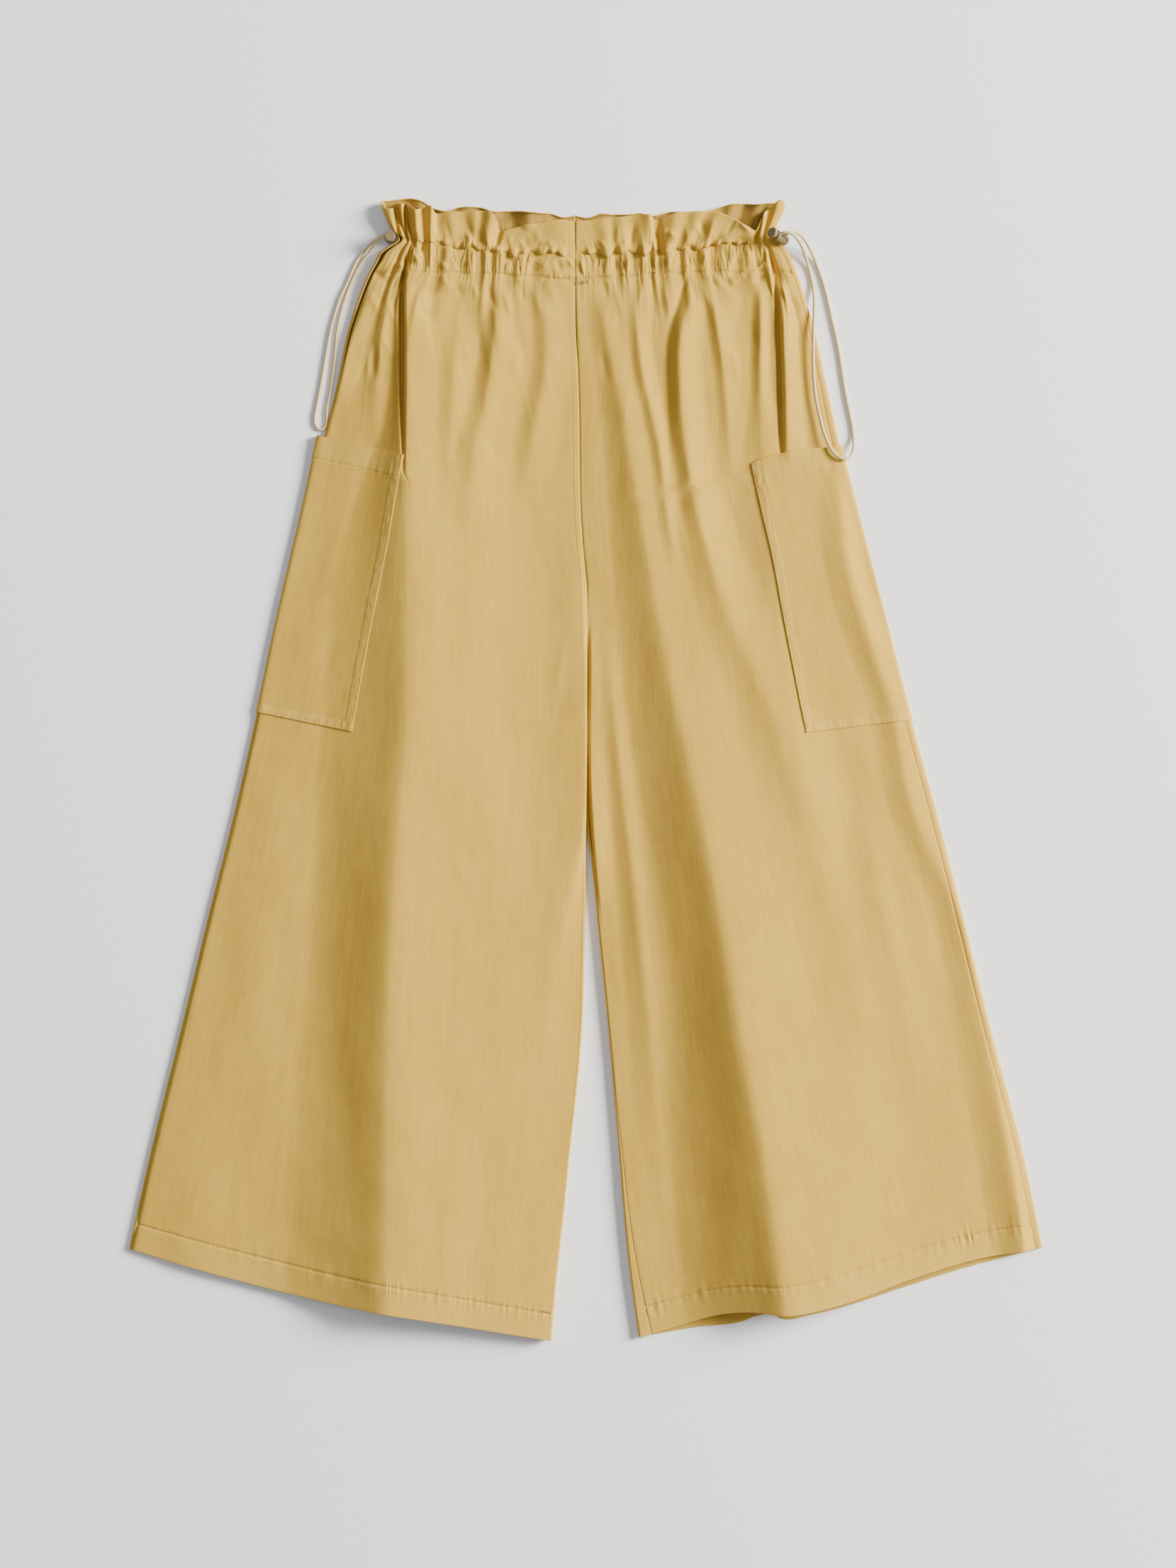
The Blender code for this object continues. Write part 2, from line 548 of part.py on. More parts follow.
def pocket(leg, inset):
    """Grid of a patch pocket that wraps round the side edge, front to back."""
    grid = []
    bottom, top = leg.first_row["pocket_bottom"], leg.first_row["pocket_top"]
    for row in range(bottom, top + 1):
        share = (row - bottom) / (top - bottom)
        gape = POCKET_GAPE[leg.side] * share * share
        front = [leg.column(row, "front", index, inset)
                 for index in range(POCKET_COLUMN[leg.side], -1, -1)]
        paths = (ROLL_PATH, ROLL_PATH / 2, 0.0, -ROLL_PATH / 2, -ROLL_PATH)
        wrap = [leg.rolled(row, "outer", path, inset, gape) for path in paths]
        back = [leg.column(row, "back", index, inset)
                for index in range(POCKET_BACK_COLUMN + 1)]
        grid.append(front + wrap + back)
    return grid


def wall_mesh(name, outer, inner, turned_columns=0):
    """Closed wall between two skins of the same grid.

    The first turned columns run against the panel that they lie on, so their
    quads are split along the other diagonal, which keeps the facets parallel.
    """
    rows, columns = len(outer), len(outer[0])
    mesh = bmesh.new()
    skins = [[[mesh.verts.new(Vector(point) * MM) for point in line] for line in grid]
             for grid in (outer, inner)]
    for skin in skins:
        for row in range(rows - 1):
            for column in range(columns - 1):
                near, far = skin[row][column], skin[row][column + 1]
                far_up, near_up = skin[row + 1][column + 1], skin[row + 1][column]
                if column < turned_columns:
                    mesh.faces.new((near, far, near_up))
                    mesh.faces.new((far, far_up, near_up))
                else:
                    mesh.faces.new((near, far, far_up))
                    mesh.faces.new((near, far_up, near_up))
    border = [(0, column) for column in range(columns)]
    border += [(row, columns - 1) for row in range(1, rows)]
    border += [(rows - 1, column) for column in range(columns - 2, -1, -1)]
    border += [(row, 0) for row in range(rows - 2, 0, -1)]
    for start, end in zip(border, border[1:] + border[:1]):
        mesh.faces.new((skins[0][start[0]][start[1]], skins[1][start[0]][start[1]],
                        skins[1][end[0]][end[1]], skins[0][end[0]][end[1]]))
    bmesh.ops.recalc_face_normals(mesh, faces=mesh.faces)
    return finished(mesh, name, "cloth")


def finished(mesh, name, material):
    """Turn a bmesh into a smooth-shaded object with its own material."""
    data = bpy.data.meshes.new(name)
    mesh.to_mesh(data)
    mesh.free()
    data.shade_smooth()
    data.set_sharp_from_angle(angle=math.radians(50.0))
    item = bpy.data.objects.new(name, data)
    bpy.context.scene.collection.objects.link(item)
    item.data.materials.append(make_material(name, material))
    return item


def make_material(name, kind):
    """Principled material of a kind, one for each object."""
    colour, roughness = COLOURS[kind]
    material = bpy.data.materials.new(f"{name}_{kind}")
    material.use_nodes = True
    shader = material.node_tree.nodes["Principled BSDF"]
    shader.inputs["Base Color"].default_value = colour
    shader.inputs["Roughness"].default_value = roughness
    shader.inputs["Metallic"].default_value = 0.0
    return material


def lock_axes(side):
    """Centre of the button's face, and a turn whose Z is the lock's axis."""
    face, pointing = LOCKS[side]
    axis = Vector(pointing).normalized()
    slot = Vector(LOCK_SLOT_TOWARDS[side])
    slot = (slot - axis * slot.dot(axis)).normalized()
    across = axis.cross(slot)
    turn = Matrix((slot, across, axis)).transposed().to_4x4()
    return Vector(face), turn


def turned_solid(profile, place):
    """Solid turned about Z from a profile of radius and height, bottom to top."""
    mesh = bmesh.new()
    rings = []
    for radius, height in profile:
        ring = []
        for step in range(LOCK_SEGMENTS):
            angle = 2.0 * math.pi * step / LOCK_SEGMENTS
            spot = Vector((radius * math.cos(angle), radius * math.sin(angle), height))
            ring.append(mesh.verts.new(place @ (spot * MM)))
        rings.append(ring)
    for low, high in zip(rings, rings[1:]):
        for step in range(LOCK_SEGMENTS):
            after = (step + 1) % LOCK_SEGMENTS
            mesh.faces.new((low[step], low[after], high[after], high[step]))
    mesh.faces.new(rings[0])
    mesh.faces.new(rings[-1])
    bmesh.ops.recalc_face_normals(mesh, faces=mesh.faces)
    return mesh


def rounded_profile(radius, bottom, top):
    """Profile of a short cylinder with eased rims."""
    step = EDGE_ROUND * 0.3
    return [(radius - EDGE_ROUND, bottom), (radius - step, bottom + step),
            (radius, bottom + EDGE_ROUND), (radius, top - EDGE_ROUND),
            (radius - step, top - step), (radius - EDGE_ROUND, top)]


def slot_cutter(name, place):
    """Guide with the outline of the cord slot, long along the lock's axis."""
    mesh = bmesh.new()
    half, radius = (SLOT_LENGTH - SLOT_WIDTH) / 2.0, SLOT_WIDTH / 2.0
    outline = []
    for step in range(SLOT_END_STEPS + 1):
        angle = math.pi * step / SLOT_END_STEPS
        outline.append((radius * math.cos(angle), half + radius * math.sin(angle)))
    outline += [(-across, -along) for across, along in outline]
    ends = []
    for reach in (-2.0 * BARREL_RADIUS, 2.0 * BARREL_RADIUS):
        ends.append([mesh.verts.new(place @ (Vector((reach, across, along)) * MM))
                     for across, along in outline])
    for step in range(len(outline)):
        after = (step + 1) % len(outline)
        mesh.faces.new((ends[0][step], ends[0][after], ends[1][after], ends[1][step]))
    mesh.faces.new(ends[0])
    mesh.faces.new(ends[1])
    bmesh.ops.recalc_face_normals(mesh, faces=mesh.faces)
    cutter = finished(mesh, name, "lock")
    cutter.hide_render = True
    cutter.display_type = "WIRE"
    return cutter


def cord_lock(side):
    """Barrel with a slot for the cord, and the plunger's button above it."""
    face, turn = lock_axes(side)
    place = Matrix.Translation(face * MM) @ turn
    button = [(STEM_RADIUS, -BUTTON_HEIGHT - STEM_HEIGHT), (STEM_RADIUS, -BUTTON_HEIGHT)]
    button += rounded_profile(BUTTON_RADIUS, -BUTTON_HEIGHT, 0.0)
    finished(turned_solid(button, place), f"lock_button_{side}", "lock")
    barrel_top = -BUTTON_HEIGHT - STEM_HEIGHT - LOCK_GAP
    profile = rounded_profile(BARREL_RADIUS, -LOCK_LENGTH, barrel_top)
    barrel = finished(turned_solid(profile, place), f"lock_barrel_{side}", "lock")
    slot_place = place @ Matrix.Translation(Vector((0.0, 0.0, -SLOT_FROM_FACE * MM)))
    slot = barrel.modifiers.new("cord_slot", "BOOLEAN")
    slot.operation = "DIFFERENCE"
    slot.object = slot_cutter(f"slot_guide_{side}", slot_place)


def smooth_route(points, step):
    """Points at even steps on a smooth curve through a route's own points."""
    route = np.array(points, dtype=float)
    padded = np.vstack((2 * route[0] - route[1], route, 2 * route[-1] - route[-2]))
    share = np.linspace(0.0, 1.0, SPAN_SAMPLES, endpoint=False)[:, None]
    spans = []
    for before, start, end, after in zip(padded, padded[1:], padded[2:], padded[3:]):
        spans.append(0.5 * (2 * start + (end - before) * share
                            + (2 * before - 5 * start + 4 * end - after) * share ** 2
                            + (3 * start - before - 3 * end + after) * share ** 3))
    dense = np.vstack(spans + [route[-1:]])
    length = np.concatenate(([0.0], np.cumsum(np.linalg.norm(np.diff(dense, axis=0), axis=1))))
    stops = np.linspace(0.0, length[-1], int(round(length[-1] / step)) + 1)
    return np.stack([np.interp(stops, length, dense[:, axis]) for axis in range(3)], axis=1)


def cord(side):
    """Round elastic cord along its route."""
    name = f"cord_{side}"
    curve = bpy.data.curves.new(name, "CURVE")
    curve.dimensions = "3D"
    curve.bevel_depth = CORD_RADIUS * MM
    curve.bevel_resolution = 2
    curve.use_fill_caps = True
    points = smooth_route(CORD_ROUTES[side], CORD_STEP)
    spline = curve.splines.new("POLY")
    spline.points.add(len(points) - 1)
    for target, point in zip(spline.points, points):
        target.co = (*(point * MM), 1.0)
    item = bpy.data.objects.new(name, curve)
    bpy.context.scene.collection.objects.link(item)
    curve.materials.append(make_material(name, "cord"))


def main():
    """Build the culottes."""
    for item in list(bpy.data.objects):
        bpy.data.objects.remove(item, do_unlink=True)
    for side in ("left", "right"):
        leg = Leg(side)
        wall_mesh(f"front_{side}", front_panel(leg, 0.0), front_panel(leg, WALL))
        wall_mesh(f"back_{side}", back_panel(leg, 0.0), back_panel(leg, WALL))
        wall_mesh(f"pocket_{side}", pocket(leg, -LAYER_GAP - WALL), pocket(leg, -LAYER_GAP),
                  turned_columns=POCKET_COLUMN[side])
        cord_lock(side)
        cord(side)


main()
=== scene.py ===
"""Wide cotton culottes with a gathered paper-bag waist, laid flat on a pale floor.

+X runs across the garment, +Y from the hems to the waist, and +Z up off the floor.
Tables and shapes are in millimetres, and each mesh is put down in metres.
"""
import logging
import math
from dataclasses import dataclass, field
from enum import Enum
from typing import Callable, Iterable, Optional, Sequence

import bmesh
import bpy
import numpy as np
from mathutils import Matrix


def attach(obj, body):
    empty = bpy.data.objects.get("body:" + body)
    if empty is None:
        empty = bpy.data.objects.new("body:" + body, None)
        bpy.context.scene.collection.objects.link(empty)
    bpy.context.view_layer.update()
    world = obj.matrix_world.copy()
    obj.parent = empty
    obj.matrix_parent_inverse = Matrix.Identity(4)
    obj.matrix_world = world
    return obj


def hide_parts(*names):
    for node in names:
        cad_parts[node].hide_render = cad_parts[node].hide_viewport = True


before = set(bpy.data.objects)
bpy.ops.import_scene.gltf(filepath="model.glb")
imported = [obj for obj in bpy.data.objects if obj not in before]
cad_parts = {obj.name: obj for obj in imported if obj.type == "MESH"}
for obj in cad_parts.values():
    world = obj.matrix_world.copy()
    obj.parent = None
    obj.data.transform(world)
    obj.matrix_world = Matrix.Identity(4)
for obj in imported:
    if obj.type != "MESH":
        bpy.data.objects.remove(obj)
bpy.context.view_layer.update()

LOG = logging.getLogger("culottes")
MM = 0.001

Array = np.ndarray
Material = bpy.types.Material
Piece = bpy.types.Object
Socket = bpy.types.NodeSocket


class Side(Enum):
    """Half of the garment, as seen from above with the waist up."""

    LEFT = "left"
    RIGHT = "right"


class Layer(Enum):
    """Upper or lower cloth of a leg."""

    FRONT = "front"
    BACK = "back"


# Levels of a leg's key rows, from the hem up to the frill's edge
HEM, HEM_STITCH, POCKET_BOTTOM, POCKET_TOP = 0.0, 0.0465, 1.0, 2.0
CASING_LOW, CASING_UP, FRILL_STITCH, FRILL_EDGE = 3.0, 4.0, 4.95, 5.0
WAIST = (CASING_LOW, CASING_UP, FRILL_EDGE)
STITCH_LEVELS = (CASING_LOW, CASING_UP, FRILL_STITCH, HEM_STITCH)
LEVEL_STEP = np.array([-0.004, 0.0, 0.004])

# Rows of a panel's grid: levels that they start and end at, and their numbers between
ROW_KEYS = (HEM, 0.040, 0.053, 0.07, POCKET_BOTTOM, POCKET_TOP, 2.5, *WAIST)
ROW_COUNTS = {
    Layer.FRONT: (6, 10, 4, 34, 32, 18, 36, 28, 28),
    Layer.BACK: (5, 8, 3, 32, 26, 14, 18, 14, 16),
}

# Key rows: outer y, inner y, sag in the middle
ROWS = {
    Side.LEFT: ((-371.5, -442.5, 0), (44.8, -8, 0), (259.9, 209.7, 0),
                (385.8, 380.9, 2.5), (413.3, 400.1, -3), (436, 425, 0)),
    Side.RIGHT: ((-370.5, -440.5, 0), (38.8, 8, 0), (251.1, 211, 0),
                 (386.5, 380.9, 2.5), (413.3, 400.1, -3), (437, 425, 0)),
}

# Outline at each side: y, x
OUTER_EDGE = {
    Side.LEFT: (
        (-372, -354.8), (-293, -337), (-205, -315.2), (-117, -294), (-29, -272), (37, -257),
        (125, -237.5), (202, -217.8), (262, -202.4), (300, -193.1), (345, -183.7), (367, -176.6),
        (386, -168.5), (396, -162.9), (402.5, -159.4), (407, -153), (411, -146.8), (414.5, -147.2),
        (418, -152.2), (421.5, -154.4), (436, -158.6)),
    Side.RIGHT: (
        (-372, 355.3), (-293, 338.8), (-205, 315.7), (-117, 294), (-29, 271.7), (37, 253.6),
        (125, 231), (202, 210.7), (257, 196.4), (300, 187), (345, 177.1), (367, 170.5),
        (386, 164.2), (395, 160.6), (401.5, 157.7), (407.4, 153.6), (413, 148.3), (418.3, 148.6),
        (425, 151.6), (432.6, 154.4), (437, 154.8)),
}

# Inner edge of each leg, and above the crotch the centre seams: y, x
INNER_EDGE = {
    Side.LEFT: (
        (-442.5, -26.4), (-392, -22), (-337, -16), (-293, -11.6), (-249, -6.6), (-205, -2.8),
        (-139, -0.6), (-73, 0.6), (60, 1.4), (104, 1.6), (140, 1.2), (180, -2.5), (290, -5.2),
        (378, -8), (425, -8)),
    Side.RIGHT: (
        (-442.5, 41.8), (-392, 34.7), (-337, 29.2), (-293, 25.9), (-249, 22), (-205, 18.2),
        (-139, 11.6), (-73, 4.8), (-50, 1.6), (-20, -1.6), (60, -2.4), (104, -1), (140, 1.2),
        (180, -2.5), (290, -5.2), (378, -8), (425, -8)),
}

SIDE_SEAM_IN = {Side.LEFT: 0.8, Side.RIGHT: 5.5}
INSEAM_IN = {Side.LEFT: 0, Side.RIGHT: 10.0}

# Hem shape: share of the width from the side, rise above a straight hem
HEM_RISE = {
    (Side.LEFT, Layer.FRONT): ((0, 0), (0.2, -5), (0.42, -7.5), (0.7, -4), (1, 0)),
    (Side.LEFT, Layer.BACK): ((0, 1), (0.4, -3), (1, 2)),
    (Side.RIGHT, Layer.FRONT): (
        (0, 0), (0.18, 2.8), (0.33, -0.5), (0.48, -6.3), (0.65, -4.4), (0.72, 2.2), (0.81, 5.2),
        (0.89, 3.2), (1, 0)),
    (Side.RIGHT, Layer.BACK): (
        (0, 0), (0.22, -3.3), (0.37, -8), (0.5, -12), (0.58, -12.5), (0.636, -11.5), (0.65, -9.6),
        (0.662, -5.6), (0.685, -4.2), (0.71, -3.8), (0.74, -5.4), (0.85, -2.2), (1, 0.5)),
}

# Front gathers from the side seam to the centre seam, crests and troughs:
# frill edge x, y, z; upper casing stitch x, z; lower casing stitch x, z
FRONT_GATHERS = {
    Side.LEFT: (
        (-158.2, 436.6, 10.4, -142.5, 9.2, -164.3, 8.8),
        (-153.4, 434.8, 12.4, -141, 9.8, -158.5, 9.4),
        (-149.4, 435.6, 12.2, -138.6, 9.4, -153.5, 8.4), (-147, 440, 4.5, -137.7, 8.4, -150.5, 6.4),
        (-144.8, 438.8, 12, -136.8, 9.6, -147, 10), (-141.4, 438.8, 12, -135.6, 9.8, -143.3, 10.4),
        (-139.7, 440.3, 4, -134.5, 8.2, -140.6, 6.4), (-138, 438.6, 10, -133.2, 9.6, -138.4, 11),
        (-131.5, 433.7, 16, -130, 12, -132, 12.5), (-126.2, 436, 8, -125, 8, -125.5, 9),
        (-119.5, 436.8, 13.5, -120, 11.5, -121, 11), (-115.5, 431.5, 8.5, -114, 7.5, -115, 8),
        (-105, 432.4, 11, -105.5, 11.5, -107, 11), (-95, 432.7, 10, -96, 8, -97, 8),
        (-86, 433.1, 12, -88, 11, -89, 10.5), (-80, 433, 11.5, -82, 7.5, -82.5, 7.5),
        (-73.5, 432.2, 14.5, -77, 11, -77.5, 10.5), (-68.5, 425, 12, -72, 7.5, -73, 7.5),
        (-66, 418, 9.5, -66, 11, -67.5, 10), (-58.3, 419.4, 9.5, -59, 7.5, -60, 7.5),
        (-47.3, 422.1, 10, -50, 11, -51, 10.5), (-33.6, 423.8, 11, -40, 8, -42, 8),
        (-20, 426.3, 11.5, -25, 11, -26, 10.5), (-8, 425, 10, -8, 9, -8, 8.8)),
    Side.RIGHT: (
        (155, 438, 9.2, 144, 8.2, 160, 8), (152.4, 441.4, 12, 142, 8.6, 155.5, 9),
        (148.4, 440.6, 12.4, 140, 8.8, 151.5, 8.2), (142.2, 434.8, 8.6, 138, 7.4, 148, 6.6),
        (138, 430.5, 13, 135.5, 9.5, 143, 12), (134.5, 421.5, 8.5, 131.5, 7.6, 135, 8),
        (131.5, 418.3, 13, 126, 11.5, 127, 12), (124, 421.8, 14, 117.5, 7.5, 117.5, 8),
        (117, 425.6, 14.5, 108, 11.5, 108, 11.5), (110, 429.2, 14, 99, 7.5, 99, 7.5),
        (102.5, 431.9, 14, 91.5, 11.5, 92.5, 11.5), (95, 432.4, 12.5, 84, 7.5, 85, 7.5),
        (88, 432.6, 13.5, 78, 11, 78.5, 11), (79, 432.5, 12, 72.6, 7.5, 73, 7.2),
        (70, 431.9, 13, 64.5, 12, 65, 11.5), (60, 427.6, 10, 57, 7.5, 57, 7.5),
        (53.9, 426.5, 9.5, 53.8, 10.5, 54, 10), (50.3, 430.1, 15, 50.4, 7.5, 50.5, 7.5),
        (42, 429.9, 12, 45, 11.5, 45.5, 11), (35, 429.2, 11, 38, 7.5, 38.5, 7.5),
        (27, 428.5, 12, 31, 11.3, 31, 11), (20, 428, 11, 24, 7.5, 24.5, 7.5),
        (13, 427.2, 11.5, 18, 11, 18, 10.5), (4, 426.2, 10.5, 10, 7.8, 10, 7.5),
        (-8, 425, 10.5, -8, 9, -8, 8.8)),
}

# Back frill edge from the side to the centre seam: x, y, lift off the floor
BACK_RIM = {
    Side.LEFT: (
        (-154.5, 442, 0.5), (-146, 443.2, 0), (-137.5, 443.9, 0), (-129.5, 441.8, 2.5),
        (-121, 436.4, 1), (-113.5, 434.2, 3), (-106, 436.6, 1), (-97, 437.5, 2.5), (-89, 436.8, 1),
        (-82, 434, 3), (-73, 434, 0.8), (-64, 434, 1.6), (-54, 433, 6), (-42, 432.5, 4.4),
        (-27, 432, 1.6), (-17.6, 429.3, 1.2), (-8, 430.7, 0.8)),
    Side.RIGHT: (
        (152.5, 440.4, 0.5), (144, 440.4, 1), (137, 439, 4.6), (131, 440, 0), (121.5, 439.2, 3),
        (112, 436.4, 1), (101.2, 433.4, 3), (91.3, 432.8, 1), (81, 433.7, 3), (71.5, 432.9, 1),
        (61.6, 430.4, 3), (50, 432.5, 1), (37, 431.4, 2.5), (26, 431.4, 0.8), (15, 432, 2.5),
        (3, 428.9, 0.5), (-8, 430.8, 0.5)),
}

# Folds of the front cloth, from the hem up: y, crest x, height, reach to the left,
# reach to the right
FOLDS = {
    Side.LEFT: (
        ((-450, -155, 19, 80, 190), (-282, -153, 18.5, 75, 180), (-172, -151, 17.5, 67, 170),
         (-117, -149, 17.4, 66, 160), (-62, -145, 16.4, 66, 150), (48, -138, 15.4, 66, 130),
         (103, -137, 14.8, 64, 120), (158, -136.5, 13.8, 57, 105), (213, -137, 12.2, 42, 90),
         (268, -138, 9.8, 20, 76), (340, -139, 7.6, 10, 56), (378, -139, 6.6, 9, 34),
         (396, -139.5, 0, 6, 20)),
        ((275, -193, 0, 12, 10), (290, -191, 1.6, 11, 14), (323, -185, 2.6, 10, 16),
         (356, -173, 3, 8, 14), (386, -163, 0, 6, 10)),
        ((240, -164, 0, 12, 14), (290, -162, 1.6, 12, 14), (323, -160, 2.2, 10, 12),
         (356, -155, 2.8, 8, 10), (386, -150, 0, 6, 8)),
        ((176, -90, 0, 18, 30), (246, -86, 3.6, 17, 30), (290, -76, 4.4, 14, 28),
         (345, -70, 4.4, 11, 22), (390, -70, 0, 8, 14)),
        ((206, -50, 0, 12, 22), (262, -40, 2.2, 13, 22), (323, -30, 2.8, 12, 22),
         (372, -36, 2.2, 10, 18), (392, -44, 0, 8, 12)),
        ((-260, -40, 0, 44, 20), (-117, -18, 2.6, 46, 16), (-50, -2, 3.4, 46, 3),
         (0, 0.5, 3.6, 44, 2), (60, 0.5, 3.4, 38, 2), (130, -3, 1.4, 24, 6), (200, -8, 0, 14, 8)),
        ((190, -106, 0, 10, 24), (246, -104, 1.6, 12, 24), (330, -101, 2, 12, 20),
         (362, -100, 0, 8, 14))),
    Side.RIGHT: (
        ((-450, 159, 25, 80, 180), (-389, 151, 25, 79, 176), (-293, 137.6, 23, 75, 165),
         (-198, 119.8, 20, 67, 155), (-103, 104, 17, 58, 140), (-8, 85, 13.2, 48, 125),
         (75, 66, 9.2, 38, 110), (170, 49, 6.6, 30, 80), (241, 36, 4.8, 22, 54),
         (323, 20, 3.2, 15, 34), (378, 8, 1.6, 9, 22), (392, 5, 0, 8, 14)),
        ((150, 70, 0, 8, 10), (202, 63, 2.2, 9, 12), (246, 58, 3, 9, 12),
         (323, 42, 3, 8, 12), (378, 38, 2.5, 6, 10), (392, 38, 0, 5, 8)),
        ((-270, 228, 0, 34, 60), (-117, 196, 2.6, 36, 60), (-7, 162, 3.4, 34, 50),
         (60, 138, 3.6, 30, 40), (134, 106, 4.4, 24, 34), (202, 87, 5.8, 18, 26),
         (290, 74, 5.8, 14, 20), (345, 75.5, 4.8, 11, 17), (368, 82, 3.4, 9, 14),
         (390, 89, 0, 8, 12)),
        ((225, 113, 0, 8, 14), (300, 108, 2.2, 8, 14), (378, 99, 2.2, 7, 12),
         (392, 98, 0, 6, 10)),
        ((-60, 180, 0, 30, 70), (0, 170, 3.4, 34, 84), (75, 156, 4.4, 34, 84),
         (150, 147, 4.2, 32, 78), (225, 141, 2.6, 24, 60), (290, 136, 2.6, 9, 14),
         (356, 136, 3, 7, 9), (388, 136, 0, 6, 8)),
        ((228, 158, 0, 8, 16), (250, 157, 3, 8, 18), (323, 154.5, 4.4, 8, 14),
         (378, 151.5, 4.2, 7, 9), (392, 148, 0, 6, 8)),
        ((-450, 350, 6.2, 25, 8), (-330, 334, 5.6, 26, 12), (-198, 308, 3.2, 24, 18),
         (-117, 292, 3.2, 22, 20), (-30, 254, 3.6, 21, 24), (52, 237, 4.6, 20, 22),
         (100, 221, 4.8, 20, 18), (148, 206, 4.2, 20, 16), (225, 196, 1.6, 16, 12),
         (250, 194, 0, 12, 10)),
        ((-360, 62, 0, 14, 20), (-227, 53, 2.2, 19, 26), (-100, 39, 2.6, 15, 22),
         (-20, 29, 2, 12, 14), (60, 20, 1, 9, 10), (120, 13, 0, 8, 10)),
        ((-300, 262, 0, 26, 40), (-190, 250, 2, 26, 40), (-80, 226, 2, 22, 34),
         (-10, 214, 0, 20, 26)),
        ((-120, 14, 0, 3, 14), (-66, 7.4, 2.6, 2.2, 15), (-20, 4.4, 2.9, 2, 16),
         (20, 3.8, 1.3, 1.8, 16), (60, 4.2, 1.6, 2, 16), (98, 4.2, 0.8, 2, 12),
         (118, 4, 0, 2, 10))),
}

# Crevices, where the cloth tucks in: y, x, depth, half width
CREVICES = {
    Side.LEFT: (
        ((226, -140.6, 0, 0.8), (262, -141.6, 4.4, 1.4), (330, -142.2, 7.5, 1.9),
         (376, -142, 7.5, 1.6), (392, -140.2, 4.5, 1.3), (402, -139, 0, 1)),
        ((410, -144, 0, 0.9), (420, -145.8, 4, 1.5), (436, -147.4, 6, 2.2),
         (445, -147.6, 6, 2.4)),
        ((409, -138.4, 0, 0.8), (417, -139.2, 4.5, 1.1), (445, -140.2, 6, 1.1)),
        ((404, -133, 0, 0.9), (410, -132.6, 2.6, 1.1), (418, -131.4, 0, 0.9)),
        ((400, -127.5, 0, 0.8), (406, -127, 3, 1.1), (412, -126, 0, 0.9)),
        ((302, -165, 0, 3), (316, -164, 2.2, 3.2), (332, -163, 0, 3)),
        ((404, -69, 0, 1.6), (411, -68, 3, 2), (421, -66.5, 2.6, 2.2),
         (430, -67, 0, 1.8))),
    Side.RIGHT: (
        ((236, 152, 0, 1.5), (262, 151.3, 3.4, 1.7), (330, 149.8, 5, 1.9),
         (372, 147.6, 4.8, 1.9), (396, 144, 3, 1.8), (404, 142, 0, 1.4)),
        ((392, 139, 0, 1), (399, 138.6, 3, 1.3), (408, 137.8, 0, 1.1)),
        ((399, 57, 0, 1.6), (408, 56.6, 3.2, 2.2), (424, 54.8, 4.2, 2.6),
         (433, 53.5, 3, 2.6)),
        ((408, 132, 0, 2), (417, 131.6, 4, 2.6), (428, 133.6, 4, 3),
         (440, 135.6, 2, 3)),
        ((232, 66, 0, 2.5), (290, 64.5, 1.4, 3), (345, 67, 1.6, 3),
         (372, 75, 1.4, 2.4), (392, 83, 0, 2)),
        ((-84, 6, 0, 1), (-60, 4, 3.8, 1.1), (-30, 2.3, 4.2, 1), (10, 2, 1.6, 0.8),
         (35, 1.9, 0.7, 0.8), (60, 2.2, 1.9, 0.9), (96, 2, 1.3, 0.9), (112, 1.4, 0, 0.9))),
}

# Scallops of the frill over the upper casing stitch: x, half width, drop
SCALLOPS = {
    Side.LEFT: (
        (-127, 2, 1), (-119, 2.2, 1.4), (-109.5, 2.4, 1.2), (-100.6, 2.8, 1.7), (-93, 3.8, 2.5),
        (-82.5, 4.2, 3), (-69, 4, 2.3), (-56, 3.8, 4), (-48, 3.2, 1.8), (-34.5, 5.2, 3),
        (-26, 3, 2), (-18.5, 3.8, 2.6)),
    Side.RIGHT: (
        (3.9, 2.8, 2), (16.5, 5, 3.2), (28, 3.8, 2.6), (37, 2.6, 1.2), (46.2, 3.2, 3.6),
        (61.6, 3.2, 3), (74, 3, 1.6), (86, 3.8, 2.4), (94, 2.4, 1.2), (101, 3.2, 2),
        (110, 2.6, 1.4), (117.5, 3.2, 2), (126, 2.6, 1.4)),
}

# Crinkling along a leg: level, amount
PUCKERING = (
    (0, 0), (0.030, 0.04), (0.042, 0.16), (0.050, 0.16), (0.058, 0), (2.80, 0),
    (2.95, 0.10), (3, 0.80), (3.5, 0.85), (4, 1), (4.2, 0.55), (4.5, 0.15), (5, 0.05))

